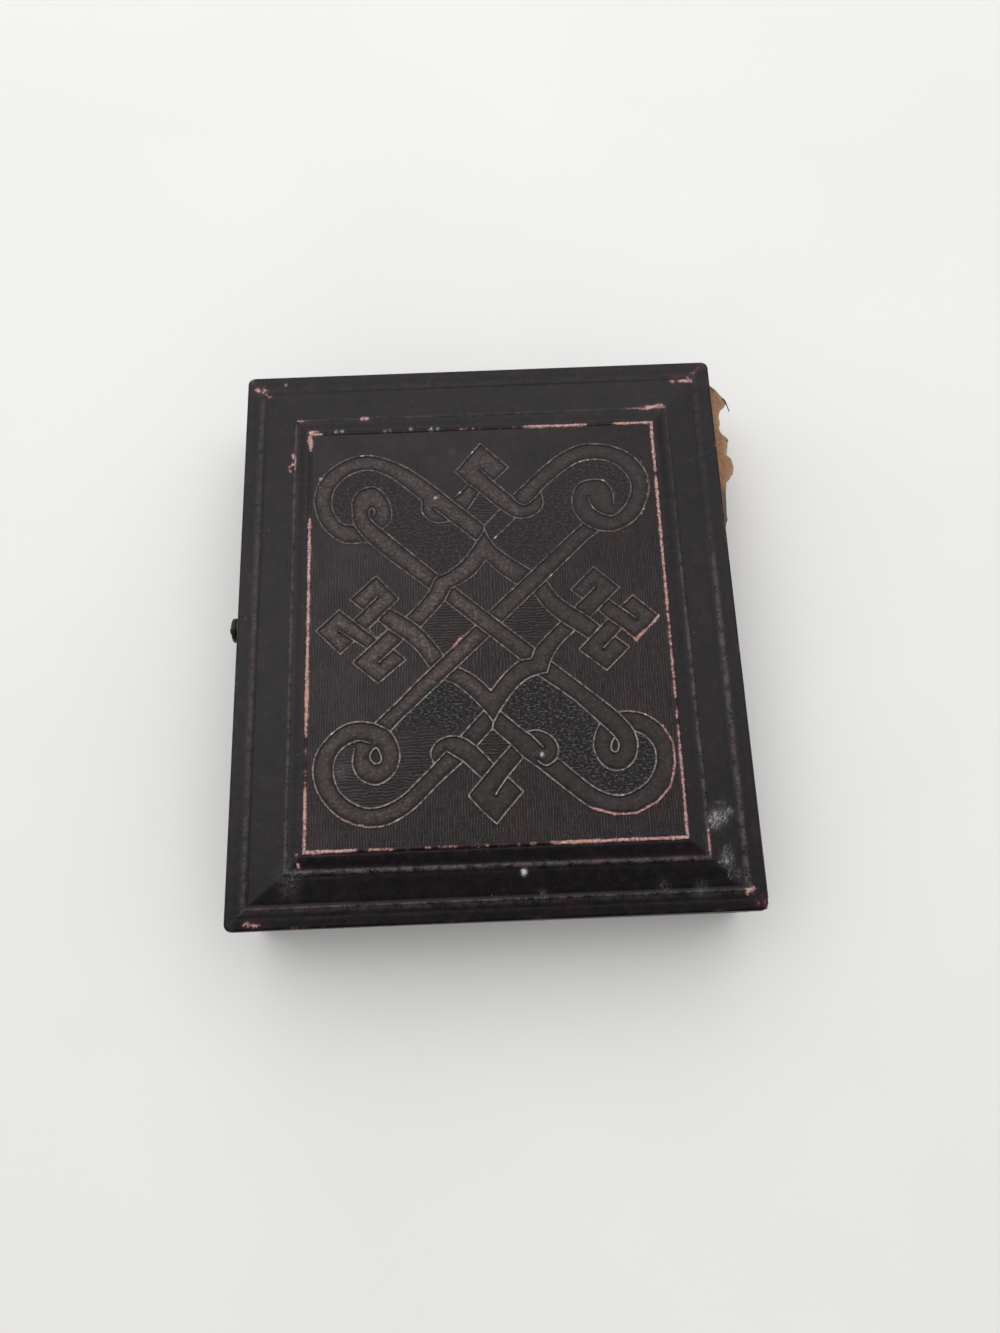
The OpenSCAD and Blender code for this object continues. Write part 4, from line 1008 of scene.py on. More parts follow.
    # the outlines stand up and are rubbed, with painted glints along them
    rid = g.ss(d, 0.165, 0.06)
    pat = g.ss(g.add(g.noise(1.3, 4, 0.7), g.mul(g.math("SUBTRACT", grit, 0.5), 0.5)), 0.34, 0.66, 0.12, 1.0)
    south = g.ss(y, 8.0, -20.0, 0.0, 1.0)
    c = g.mix(g.mul(g.mul(rid, pat), pan), c, g.mix(south, (0.150, 0.125, 0.122), (0.300, 0.268, 0.255)))
    pale = g.mul(g.mul(rid, pan), g.ss(g.noise(0.35, 4, 0.75, vec=g.vadd(flat, (3.0, 9.0, 0.0))), 0.56, 0.68))
    c = g.mix(g.mul(pale, 0.7), c, (0.44, 0.33, 0.30))
    # painted glints: small pale spots on the raised outlines
    glint = g.mul(g.mul(rid, pan), g.ss(g.voronoi(0.42, vec=flat), 0.16, 0.07))
    c = g.mix(g.mul(glint, 0.8), c, (0.58, 0.52, 0.49))
    # rub and painted highlight on the tops of the beads and the first ridge
    crest_rub_and_highlight = g.attr("em_crest_rub_and_highlight")
    cr = g.mul(crest_rub_and_highlight, g.ss(g.add(mid, g.mul(g.math("SUBTRACT", grit, 0.5), 0.8)), 0.30, 0.66))
    c = g.mix(g.mul(cr, 0.9), c, g.mix(g.ss(hue, 0.42, 0.60), (0.0850, 0.0780, 0.0800), (0.0950, 0.0580, 0.0680)))
    # worn leather shows pink, then pale
    n1 = g.noise(2.2, 4, 0.7)
    p = g.ss(g.add(pink, g.mul(g.math("SUBTRACT", n1, 0.5), 0.95)), 0.34, 0.62)
    p = g.mul(p, g.ss(pink, 0.05, 0.22))
    pk = g.mix(g.ss(g.add(n1, g.mul(g.math("SUBTRACT", pink, 0.75), 0.40)), 0.40, 0.62), (0.230, 0.105, 0.108), (0.62, 0.45, 0.42))
    orange = g.ss(g.noise(0.16, 1, 0.5), 0.50, 0.64)
    pk = g.mix(g.mul(orange, 0.42), pk, (0.52, 0.30, 0.19))
    c = g.mix(g.mul(p, strength), c, pk)
    halo = g.mul(g.ss(pink, 0.02, 0.35), g.ss(n1, 0.35, 0.65, 0.2, 1.0))
    c = g.mix(g.mul(halo, 0.25), c, (0.150, 0.055, 0.062))
    slant = g.comb(g.add(g.mul(x, 0.87), g.mul(y, -0.5)), g.add(g.mul(x, 0.5), g.mul(y, 0.87)), 0.0)
    rn = g.add(g.mul(g.noise(3.4, 4, 0.78), 0.45), g.mul(g.noise(1.0, 4, 0.75, vec=slant, stretch=(4.6, 1.1, 1)), 0.55))
    # pale rubbed leather, and painted glints on two studs
    rb = g.math("MINIMUM", g.mul(rub_and_glint, g.ss(rn, 0.455, 0.60, 0.08, 1.35)), 1.0)
    rb = g.mx(rb, g.ss(rub_and_glint, 0.9, 1.4))
    c = g.mix(g.mul(rb, 0.9), c, (0.50, 0.49, 0.48))
    # dust and small pale nicks
    v1 = g.voronoi(0.55)
    dust = g.mul(g.ss(v1, 0.05, 0.025), g.ss(g.noise(0.3, 1, 0.5), 0.50, 0.58))
    c = g.mix(g.mul(dust, 0.7), c, (0.27, 0.24, 0.23))
    nick = g.mul(g.ss(g.noise(1.9, 5, 0.8, stretch=(1, 0.5, 1)), 0.66, 0.74), g.ss(big, 0.45, 0.6))
    c = g.mix(g.mul(nick, 0.45), c, (0.110, 0.072, 0.075))
    r0 = g.add(g.ss(mid, 0.3, 0.7, 0.27, 0.36), g.mul(pan, 0.07))
    r0 = g.add(r0, g.mul(p, 0.35))
    h = g.add(g.mul(fine, 0.25), g.add(g.mul(lines, 0.50), g.mul(mm, 0.6)))
    h = g.add(h, g.mul(grit, g.mad(pan, 0.75, 0.35)))
    h = g.add(h, g.mul(mid, g.mad(pan, 0.5, 1.0)))
    nrm = g.bump(h, 0.06, 0.9)
    g.set(Base_Color=c, Roughness=r0, Normal=nrm)
    g.bsdf.inputs["Specular IOR Level"].default_value = 0.29
    return g.mat

def plain_leather(name):
    g = Nodes(name)
    x, y, z = g.sep()
    c, fine = leather_base(g)
    grain = g.voronoi(2.6, feature="F1")
    cr = g.noise(1.1, 4, 0.65, stretch=(1, 1, 0.4))
    c = g.mix(g.ss(cr, 0.58, 0.72, 0, 0.7), c, (0.050, 0.030, 0.034))
    rimz = g.math("ABSOLUTE", g.math("SUBTRACT", z, 9.5))
    worn = g.mul(g.ss(rimz, 0.35, 0.05), g.ss(g.noise(0.7, 5, 0.75), 0.55, 0.72))
    c = g.mix(g.mul(worn, 0.40), c, (0.110, 0.058, 0.050))
    h = g.add(g.mul(grain, 0.5), g.add(g.mul(fine, 0.3), g.mul(cr, 0.6)))
    g.set(Base_Color=c, Roughness=0.46, Normal=g.bump(h, 0.05, 0.7))
    g.bsdf.inputs["Specular IOR Level"].default_value = 0.25
    return g.mat

def spine_material():
    g = Nodes("spine_old_leather")
    t = g.attr("em_torn")
    c, fine = leather_base(g)
    n = g.noise(1.4, 4, 0.7)
    raw = g.mix(g.ss(n, 0.3, 0.7), (0.115, 0.055, 0.030), (0.26, 0.145, 0.075))
    m = g.ss(g.add(t, g.mul(g.math("SUBTRACT", g.noise(0.8, 4, 0.7), 0.5), 0.8)), 0.35, 0.55)
    crack = g.ss(g.noise(0.9, 5, 0.75, stretch=(1, 0.35, 2.2)), 0.60, 0.68)
    c = g.mix(g.mul(crack, 0.7), c, (0.14, 0.085, 0.055))
    c = g.mix(m, c, raw)
    h = g.add(g.mul(fine, 0.6), g.mul(n, 1.0))
    g.set(Base_Color=c, Roughness=0.75, Normal=g.bump(h, 0.06, 0.9))
    g.bsdf.inputs["Specular IOR Level"].default_value = 0.2
    return g.mat

def flap_material():
    g = Nodes("torn_brown_leather")
    f, low = g.attr("em_fuzz"), g.attr("em_low")
    n = g.noise(1.3, 5, 0.7)
    n2 = g.noise(5.0, 3, 0.7)
    c = g.mix(g.ss(n, 0.3, 0.7), (0.235, 0.125, 0.074), (0.340, 0.195, 0.110))
    c = g.mix(g.ss(n2, 0.5, 0.8, 0, 0.5), c, (0.10, 0.05, 0.03))
    c = g.mix(g.mul(f, g.ss(n, 0.35, 0.6, 0.2, 0.8)), c, (0.40, 0.270, 0.165))
    c = g.mix(g.mul(low, 0.75), c, (0.085, 0.070, 0.045))
    g.set(Base_Color=c, Roughness=0.85, Normal=g.bump(g.add(n, g.mul(n2, 0.6)), 0.12, 1.0))
    g.bsdf.inputs["Specular IOR Level"].default_value = 0.15
    return g.mat

paint(lid_cover, embossed_leather("embossed_leather_lid"))
paint(tray_cover, embossed_leather("embossed_leather_tray", 0.8))
side_mat = plain_leather("plain_side_leather")
paint(lid_side, side_mat)
paint(tray_side, side_mat)
paint(spine_ob, spine_material())
paint(flap_ob, flap_material())
# ---------------------------------------------------------------- inside the case
def rect_path(hx0, hx1, hy, r, step):
    """a rounded rectangle: points, outward normals and the length run so far"""
    P, N = [], []
    def line(x0, y0, x1, y1, nx, ny):
        k = max(2, int(round(math.hypot(x1 - x0, y1 - y0) / step)))
        for t in np.arange(k) / k:
            P.append((x0 + (x1 - x0) * t, y0 + (y1 - y0) * t)); N.append((nx, ny))
    def arc(cx, cy, a0):
        k = max(4, int(round(r * math.pi / 2 / step)))
        for t in np.arange(k) / k:
            a = math.radians(a0 + 90 * t)
            P.append((cx + r * math.cos(a), cy + r * math.sin(a))); N.append((math.cos(a), math.sin(a)))
    line(hx1, -hy + r, hx1, hy - r, 1, 0); arc(hx1 - r, hy - r, 0)
    line(hx1 - r, hy, hx0 + r, hy, 0, 1); arc(hx0 + r, hy - r, 90)
    line(hx0, hy - r, hx0, -hy + r, -1, 0); arc(hx0 + r, -hy + r, 180)
    line(hx0 + r, -hy, hx1 - r, -hy, 0, -1); arc(hx1 - r, -hy + r, 270)
    P, N = np.array(P), np.array(N)
    s = np.concatenate([[0], np.cumsum(np.hypot(*np.diff(P, axis=0).T))])
    return P, N, s

def mitred(P, N, hx0, hx1, hy, d):
    """points d inside the outer line, with square mitres at the corners"""
    q = P - N * np.minimum(d, 0.35)
    q[:, 0] = np.clip(q[:, 0], hx0 + d, hx1 - d)
    q[:, 1] = np.clip(q[:, 1], -hy + d, hy - d)
    return q

def velvet_wall():
    P, N, s = rect_path(-36.90, 36.65, 43.25, 0.5, 0.45)
    prof = [(0.0, 3.36), (0.0, 6.0), (0.0, 8.9), (0.0, 10.9), (0.05, 11.35), (0.2, 11.58), (0.5, 11.68), (0.8, 11.58),
            (0.95, 11.35), (1.0, 10.9), (1.0, 9.0), (1.0, 7.2), (1.0, 5.4), (0.98, 4.2), (0.9, 3.36)]
    rings = []
    for d, z in prof:
        q = mitred(P, N, -36.90, 36.65, 43.25, max(d, 0.0))
        n = 0.06 * (fbm(s, s * 0 + z * 3, 1.3, 401, 3) - 0.5) * (z > 6)
        rings.append(np.column_stack([q - N * np.abs(n)[:, None], np.minimum(z + n, 11.69)]))
    V, F = sweep(np.stack(rings, 1), True, True)
    return V, [f[:, ::-1] for f in F]

wall_ob = mesh_obj("velvet_wall", *velvet_wall())
wall_ob.data.flip_normals()
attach(wall_ob, "tray")
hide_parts("velvet_strip")

# the crowned pad: a flat bag of cloth held at its card, filled, then pressed with a traditional figure
PX, PY, PZ, PEDGE = 36.2, 42.55, 15.08, 13.42

def filled_crown():
    """heights of the filled bag on an even grid, from a cloth run at ten times the size"""
    nx, ny = 37, 43
    xs, ys = np.linspace(-1, 1, nx), np.linspace(-1, 1, ny)
    X, Y = np.meshgrid(xs * PX, ys * PY)
    V = np.column_stack([X.ravel(), Y.ravel(), np.zeros(nx * ny)]) * 10
    i = np.arange(nx * ny).reshape(ny, nx)
    F = np.stack([i[:-1, :-1], i[1:, :-1], i[1:, 1:], i[:-1, 1:]], -1).reshape(-1, 4)
    ob = mesh_obj("bag", V, [F])
    rim = ob.vertex_groups.new(name="rim")
    rim.add([int(k) for k in np.unique(np.concatenate([i[0], i[-1], i[:, 0], i[:, -1]]))], 1.0, "REPLACE")
    m = ob.modifiers.new("fill", "CLOTH")
    st = m.settings
    st.quality = 6
    st.mass = 0.15
    st.tension_stiffness = st.compression_stiffness = 12
    st.shear_stiffness = 6
    st.bending_stiffness = 0.6
    st.air_damping = 4
    st.use_pressure = True
    st.uniform_pressure_force = 4.0
    st.vertex_group_mass = "rim"
    st.effector_weights.gravity = 0
    m.collision_settings.use_collision = False
    sc = bpy.context.scene
    m.point_cache.frame_start, m.point_cache.frame_end = 1, 20
    for f in range(1, 21):
        sc.frame_set(f)
    me = ob.evaluated_get(bpy.context.evaluated_depsgraph_get()).to_mesh()
    co = np.zeros(nx * ny * 3, np.float32)
    me.vertices.foreach_get("co", co)
    z = np.abs(co.reshape(-1, 3)[:, 2].reshape(ny, nx)) * 100
    bpy.data.objects.remove(ob, do_unlink=True)
    sc.frame_set(1)
    return xs, ys, z / max(z.max(), 1e-6)

def grid_at(xs, ys, Z, x, y):
    fx = np.clip((x - xs[0]) / (xs[-1] - xs[0]) * (len(xs) - 1), 0, len(xs) - 1.001)
    fy = np.clip((y - ys[0]) / (ys[-1] - ys[0]) * (len(ys) - 1), 0, len(ys) - 1.001)
    i, j = fx.astype(int), fy.astype(int)
    u, v = smoothstep(0, 1, fx - i) * 0.5 + (fx - i) * 0.5, smoothstep(0, 1, fy - j) * 0.5 + (fy - j) * 0.5
    return (Z[j, i] * (1 - u) + Z[j, i + 1] * u) * (1 - v) + (Z[j + 1, i] * (1 - u) + Z[j + 1, i + 1] * u) * v

def line_dist(x, y, pts):
    D = np.full(x.shape, 9.0)
    for (x0, y0), (x1, y1) in zip(pts[:-1], pts[1:]):
        D = np.minimum(D, seg_dist(x, y, x0, y0, x1, y1))
    return D

def pressed_figure(x, y):
    """a pressed wreath with scrolls and leaves, the same in each quarter"""
    ax, ay = np.abs(x), np.abs(y)
    D = np.full(x.shape, 9.0)
    t = np.linspace(0, 1, 40)
    a = 2.4 * math.pi * t
    D = np.minimum(D, line_dist(ax, ay, np.column_stack([25.5 + (6.6 - 5.4 * t) * np.cos(a + 3.6), 31.0 + (6.6 - 5.4 * t) * np.sin(a + 3.6)])))
    D = np.minimum(D, line_dist(ax, ay, [(0, 38.0), (4, 36.2), (9, 37.6), (14, 35.5), (18.4, 33.0)]))
    D = np.minimum(D, line_dist(ax, ay, [(31.5, 0), (29.8, 5), (31.2, 11), (29.4, 17), (29.5, 24.4)]))
    D = np.minimum(D, line_dist(ax, ay, np.column_stack([15.5 * np.cos(a[:20] / a[19] * math.pi / 2), 19.5 * np.sin(a[:20] / a[19] * math.pi / 2)])))
    D = np.minimum(D, line_dist(ax, ay, [(10.5, 14.5), (14, 18.5), (16, 23), (19.2, 27.6)]))
    D = np.minimum(D, line_dist(ax, ay, [(15.5, 0), (19, 3.0), (23, 3.4), (26.2, 0)]))
    D = np.minimum(D, line_dist(ax, ay, [(0, 19.5), (3.0, 23), (3.2, 28), (0, 31.5)]))
    h = -0.30 * np.exp(-(D / 0.42) ** 2)
    r, th = np.hypot(x, y), np.arctan2(y, x)
    petal = np.abs(r - (6.4 + 2.2 * np.cos(8 * th)))
    h -= 0.26 * np.exp(-(petal / 0.5) ** 2) + 0.26 * np.exp(-((r - 2.3) / 0.4) ** 2)
    h += 0.10 * np.exp(-(r / 1.2) ** 2)
    d = np.minimum(PX - ax, PY - ay)
    h -= 0.24 * np.exp(-((d - 3.0) / 0.4) ** 2)
    bead = np.where(PX - ax < PY - ay, y, x)
    h -= 0.12 * np.exp(-((d - 4.3) / 0.5) ** 2) * (0.5 + 0.5 * np.cos(bead * 2 * math.pi / 1.6))
    return h

def velvet_cushion():
    xs, ys, crown = filled_crown()
    nx, ny = 201, 235
    U, W = np.meshgrid(np.linspace(-1, 1, nx), np.linspace(-1, 1, ny))
    d = np.minimum((1 - np.abs(U)) * PX, (1 - np.abs(W)) * PY)
    r = 1.3
    X, Y = U * PX, W * PY
    a, b = np.clip((np.abs(X) - (PX - r)) / r, 0, 1), np.clip((np.abs(Y) - (PY - r)) / r, 0, 1)
    c = (a > 0) & (b > 0)
    u, v = a * np.sqrt(1 - b * b / 2), b * np.sqrt(1 - a * a / 2)
    X = np.where(c, np.sign(X) * (PX - r + u * r), X)
    Y = np.where(c, np.sign(Y) * (PY - r + v * r), Y)
    pull = 0.30 * (np.sin(math.pi * (X / PX + 1) / 2) * (np.abs(Y) / PY) ** 6), 0.30 * (np.sin(math.pi * (Y / PY + 1) / 2) * (np.abs(X) / PX) ** 6)
    Y, X = Y * (1 - pull[0] / PY), X * (1 - pull[1] / PX)
    top = grid_at(xs, ys, crown, U, W)
    h = 1.72 * top + 0.55 * smoothstep(0, 1.4, d) - 0.2
    h += (pressed_figure(X, Y) + 0.05 * (fbm(X, Y, 1.4, 411, 3) - 0.5)) * smoothstep(0.4, 1.6, d)
    Z = PEDGE + 0.1 - h
    Z = np.clip(Z, 11.42, 15.0)
    n = nx * ny
    i = np.arange(n).reshape(ny, nx)
    parts = [np.stack([X, Y, Z], -1).reshape(-1, 3)]
    F = [np.stack([i[:-1, :-1], i[1:, :-1], i[1:, 1:], i[:-1, 1:]], -1).reshape(-1, 4)]
    loop = np.concatenate([i[0, :-1], i[:-1, -1], i[-1, :0:-1], i[:0:-1, 0]])
    rim = parts[0][loop]
    prev, m = loop, len(loop)
    for k, (out, z) in enumerate([(0.10, 13.75), (0.10, 14.2), (0.02, 14.7), (-0.25, PZ)]):
        q = rim.copy()
        nn = np.column_stack([q[:, 0] / PX, q[:, 1] / PY])
        nn = np.sign(nn) * np.abs(nn) ** 12
        q[:, :2] = np.clip(q[:, :2] + nn * out, [-36.29, -42.64], [36.29, 42.64])
        q[:, 2] = z
        cur = np.arange(m) + n + k * m
        parts.append(q)
        F.append(np.stack([prev, np.roll(prev, -1), np.roll(cur, -1), cur], -1))
        prev = cur
    c0 = n + 4 * m
    parts.append(np.array([[0, 0, PZ]]))
    F.append(np.stack([prev, np.roll(prev, -1), np.full(m, c0)], -1))
    return np.vstack(parts), F

pad_ob = mesh_obj("velvet_cushion", *velvet_cushion())
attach(pad_ob, "lid")
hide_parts("velvet_pad")

# thin pressed brass folded round the packet
def foil_frame():
    P, N, s = rect_path(-35.30, 35.30, 41.65, 0.7, 0.2)
    total = s[-1] + 0.2
    lap = 3.2
    dd = np.concatenate([np.linspace(0, 0.25, 3), np.linspace(0.3, lap, 24)])
    sec = [(lap, 3.36), (1.6, 3.36), (0.25, 3.36), (0.02, 3.45), (0.0, 4.2), (0.0, 5.2)]
    rings = []
    for d, z in sec:
        rings.append(np.column_stack([mitred(P, N, -35.30, 35.30, 41.65, d), np.full(len(P), z)]))
    rope = 1.05
    n_leaf = round(total / 2.9)
    for d in dd:
        q = mitred(P, N, -35.30, 35.30, 41.65, d)
        ph = s / rope * 2 * math.pi
        z = 5.72 + 0.22 * smoothstep(0, 0.25, d) + np.zeros(len(P))
        z += 0.14 * math.exp(-((d - 0.62) / 0.2) ** 2) * (0.62 + 0.38 * np.sin(ph + d * 5))
        lf = (s / total * n_leaf) % 1.0 - 0.5
        arch = np.abs(d - (1.15 + 0.95 * np.sqrt(np.clip(1 - (lf * 2) ** 2, 0, 1))))
        z += 0.13 * np.exp(-(arch / 0.13) ** 2)
        z += 0.11 * np.exp(-((lf * 2.9 / 0.22) ** 2)) * smoothstep(1.1, 1.3, d) * smoothstep(1.95, 1.6, d)
        z += 0.12 * math.exp(-((d - 2.72) / 0.17) ** 2) * (0.8 + 0.2 * np.sin(2 * ph))
        z -= 0.12 * smoothstep(2.95, 3.2, d)
        z += 0.04 * (fbm(q[:, 0], q[:, 1], 1.4, 421, 2) - 0.5)
        rings.append(np.column_stack([q, np.minimum(z, 6.14)]))
    for d, z in [(lap, 5.80), (1.6, 5.78), (0.3, 5.76), (0.2, 5.3), (0.2, 4.2), (0.24, 3.52), (1.6, 3.50), (lap, 3.48)]:
        rings.append(np.column_stack([mitred(P, N, -35.30, 35.30, 41.65, d), np.full(len(P), z)]))
    V, F = sweep(np.stack(rings, 1), True, True)
    return V, [f[:, ::-1] for f in F]

foil_ob = mesh_obj("foil_frame", *foil_frame())
foil_ob.data.flip_normals()
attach(foil_ob, "tray")
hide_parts("preserver_frame")

def mat_sheet():
    """pressed mat: a raised lip round the oval, an engraved line and scrolls in the corners"""
    hx, hy, ox, oy = 34.9, 41.25, 25.0, 31.0
    n = 960
    th = np.arange(n) / n * 2 * math.pi
    E = np.column_stack([ox * np.cos(th), oy * np.sin(th)])
    k = np.minimum(hx / np.maximum(np.abs(np.cos(th)), 1e-9), hy / np.maximum(np.abs(np.sin(th)), 1e-9))
    O = np.column_stack([k * np.cos(th), k * np.sin(th)])
    ts = np.concatenate([[0, 0.006, 0.015, 0.03, 0.05, 0.07, 0.09], np.linspace(0.12, 1, 60)])
    rings = []
    for t in ts:
        q = E + (O - E) * t
        gap = np.hypot(*(q - E).T)
        x, y = q[:, 0], q[:, 1]
        z = 4.10 + 0.20 * smoothstep(0.0, 0.55, gap) - 0.07 * smoothstep(0.8, 1.15, gap)
        z -= 0.05 * np.exp(-((gap - 1.8) / 0.14) ** 2)
        ax, ay = np.abs(x), np.abs(y)
        R, A = np.hypot(ax - 27.6, ay - 34.0), np.arctan2(ay - 34.0, ax - 27.6)
        sp = np.abs(((R - 0.9 * A / (2 * math.pi) * 1.6) % 1.44) - 0.72)
        z += 0.045 * np.exp(-(sp / 0.22) ** 2) * smoothstep(5.2, 4.6, R) * smoothstep(0.8, 1.4, gap)
        z += 0.045 * np.exp(-(R / 0.7) ** 2)
        z += 0.012 * (fbm(x, y, 0.5, 431, 2) - 0.5) * smoothstep(1.0, 1.3, gap)
        rings.append(np.column_stack([q, np.clip(z, 4.06, 4.34)]))
    for t in (1.0, 0.5, 0.0):
        rings.append(np.column_stack([E + (O - E) * t, np.full(n, 4.055)]))
    V, F = sweep(np.stack(rings, 1), True, True)
    return V, [f[:, ::-1] for f in F]

mat_ob = mesh_obj("pressed_mat", *mat_sheet())
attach(mat_ob, "tray")
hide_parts("brass_mat")

# the inner hinge: one strip, up the tray's wall, out between the rims and back up the lid's wall
def inner_strip():
    ys = np.linspace(-42.0, 42.0, 170)
    mid = [(36.775, z) for z in np.linspace(5.52, 9.05, 9)] + [(36.80, 9.18), (36.90, 9.27)]
    mid += [(x, 9.30) for x in np.linspace(37.2, 38.8, 6)]
    mid += [(39.00 + 0.16 * math.cos(a), 9.5 + 0.20 * math.sin(a)) for a in np.linspace(-math.pi / 2, math.pi / 2, 25)]
    mid += [(x, 9.70) for x in np.linspace(38.8, 37.4, 6)]
    mid += [(37.20, 9.73), (37.09, 9.85)] + [(37.075, z) for z in np.linspace(10.0, 12.85, 8)]
    c = np.array(mid)
    t = np.gradient(c, axis=0)
    t /= np.maximum(np.hypot(*t.T), 1e-9)[:, None]
    nn = np.column_stack([t[:, 1], -t[:, 0]])
    th = np.full(len(c), 0.095)
    th[:2] *= (0.35, 0.8); th[-2:] *= (0.8, 0.35)
    a, b = c + nn * th[:, None], c - nn * th[:, None]
    sec = np.vstack([a, b[::-1]])
    rings = []
    for y in ys:
        w = 0.035 * (fbm(np.full(len(sec), y), sec[:, 1] * 2, 1.7, 441, 2) - 0.5) * (np.abs(sec[:, 1] - 9.5) > 0.6)
        rings.append(np.column_stack([sec[:, 0] + w, np.full(len(sec), y), sec[:, 1]]))
    return sweep(np.array(rings), False, True, cap=False), len(sec)

(Vh, Fh), k = inner_strip()
n_st = len(Vh) // k
for st, flip in ((0, False), (n_st - 1, True)):           # close the two ends with strips across the section
    i = np.arange(k // 2 - 1)
    q = np.stack([i, i + 1, k - 2 - i, k - 1 - i], -1) + st * k
    Fh.append(q[:, ::-1] if flip else q)
hinge_ob = mesh_obj("inner_hinge_strip", Vh, Fh)
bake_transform(hinge_ob)
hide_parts("inner_hinge")
# ---------------------------------------------------------------- finishes of the inside, the wood and the clasp
def velvet(name, worn=0.35):
    g = Nodes(name)
    big = g.noise(0.09, 3, 0.6)
    pile = g.noise(2.6, 4, 0.7)
    fine = g.noise(9.0, 2, 0.7)
    c = g.mix(g.ss(big, 0.3, 0.7), (0.105, 0.007, 0.012), (0.185, 0.016, 0.022))
    c = g.mix(g.ss(pile, 0.35, 0.7, 0, 0.7), c, (0.260, 0.026, 0.032))
    c = g.mix(g.mul(g.ss(fine, 0.55, 0.8), 0.5), c, (0.045, 0.003, 0.006))
    c = g.mix(g.ss(g.noise(0.22, 4, 0.7), 0.62, 0.80, 0, worn), c, (0.300, 0.120, 0.085))
    g.set(Base_Color=c, Roughness=0.85, Normal=g.bump(g.add(pile, g.mul(fine, 0.5)), 0.05, 0.7))
    g.bsdf.inputs["Sheen Weight"].default_value = 0.7
    g.bsdf.inputs["Sheen Roughness"].default_value = 0.4
    g.bsdf.inputs["Sheen Tint"].default_value = (1.0, 0.45, 0.42, 1.0)
    g.bsdf.inputs["Specular IOR Level"].default_value = 0.15
    return g.mat

def stained_pine(name, across=False):
    g = Nodes(name)
    along = (0.3, 1, 1) if across else (1, 0.3, 1)
    wob = g.noise(0.05, 2, 0.5, stretch=along)
    x, y, z = g.sep()
    x = y if across else x
    ring = g.math("SINE", g.mad(g.add(x, z), 1.9, g.mul(wob, 14.0)))
    fib = g.noise(2.4, 4, 0.7, stretch=(0.05, 1, 1) if across else (1, 0.05, 1))
    c = g.mix(g.ss(ring, -0.4, 0.9), (0.060, 0.028, 0.016), (0.120, 0.062, 0.034))
    c = g.mix(g.ss(fib, 0.35, 0.7, 0, 0.7), c, (0.036, 0.017, 0.011))
    c = g.mix(g.ss(g.noise(0.3, 4, 0.7), 0.5, 0.75, 0, 0.5), c, (0.022, 0.012, 0.010))
    g.set(Base_Color=c, Roughness=g.ss(fib, 0.3, 0.7, 0.62, 0.80), Normal=g.bump(g.add(fib, g.mul(ring, 0.2)), 0.05, 0.6))
    g.bsdf.inputs["Specular IOR Level"].default_value = 0.3
    return g.mat

def old_paper(name, a, b, spots=0.4):
    g = Nodes(name)
    fib = g.noise(3.0, 4, 0.75)
    c = g.mix(g.ss(g.noise(0.12, 4, 0.65), 0.35, 0.7), a, b)
    c = g.mix(g.ss(fib, 0.4, 0.75, 0, 0.35), c, tuple(v * 0.7 for v in a))
    c = g.mix(g.ss(g.noise(0.35, 5, 0.75), 0.62, 0.72, 0, spots), c, (0.16, 0.075, 0.030))
    g.set(Base_Color=c, Roughness=0.85, Normal=g.bump(fib, 0.03, 0.6))
    return g.mat

def gilt(name, base, worn, rough=0.26, stipple=0.0):
    g = Nodes(name)
    big = g.noise(0.10, 4, 0.65)
    mid = g.noise(0.8, 4, 0.7)
    c = g.mix(g.ss(big, 0.35, 0.7), base, tuple(v * 0.78 for v in base))
    t = g.mul(g.ss(mid, 0.50, 0.72), g.ss(g.noise(0.18, 3, 0.7), 0.4, 0.6))
    c = g.mix(g.mul(t, 0.8), c, worn)
    h = g.mul(mid, 0.4)
    if stipple:
        h = g.add(h, g.mul(g.ss(g.voronoi(2.6), 0.15, 0.45), stipple))
    g.set(Base_Color=c, Metallic=1.0, Roughness=g.mad(t, 0.30, rough), Normal=g.bump(h, 0.03, 0.6))
    return g.mat

def dull_brass(name):
    g = Nodes(name)
    big = g.noise(0.5, 4, 0.7)
    mid = g.noise(2.2, 4, 0.7)
    c = g.mix(g.ss(big, 0.35, 0.65), (0.020, 0.017, 0.010), (0.050, 0.046, 0.032))
    c = g.mix(g.ss(mid, 0.55, 0.72, 0, 0.8), c, (0.110, 0.100, 0.062))
    c = g.mix(g.ss(g.noise(1.1, 3, 0.7), 0.60, 0.70, 0, 0.5), c, (0.040, 0.062, 0.050))
    g.set(Base_Color=c, Metallic=g.ss(mid, 0.45, 0.7, 0.35, 0.85), Roughness=g.ss(big, 0.3, 0.7, 0.34, 0.55),
          Normal=g.bump(g.add(big, mid), 0.04, 0.7))
    return g.mat

wood, wood_across = stained_pine("pine_wood"), stained_pine("pine_wood_across", True)
for n in NODES:
    if n.startswith(("tray_rail", "lid_rail")) or n in ("tray_board", "lid_board"):
        soften(n, 0.18, 2)
        paint_node(n, wood_across if n.endswith(("head", "foot")) else wood)

red_velvet = velvet("velvet")
paint(wall_ob, red_velvet)
paint(pad_ob, red_velvet)

foil = gilt("brass_foil", (0.78, 0.52, 0.19), (0.20, 0.10, 0.045), 0.24)
paint(foil_ob, foil)
mat_finish = gilt("gilt_brass", (0.80, 0.56, 0.23), (0.36, 0.20, 0.08), 0.30, 1.0)
paint(mat_ob, mat_finish)

paint_node("tray_lining_paper", old_paper("lining_paper", (0.30, 0.24, 0.17), (0.40, 0.33, 0.24)))
paint_node("sealing_tape", old_paper("paper_tape", (0.16, 0.12, 0.085), (0.24, 0.19, 0.13)))
paint_node("pad_card", old_paper("card", (0.22, 0.17, 0.11), (0.32, 0.25, 0.17), 0.2))
soften("sealing_tape", 0.05, 2)

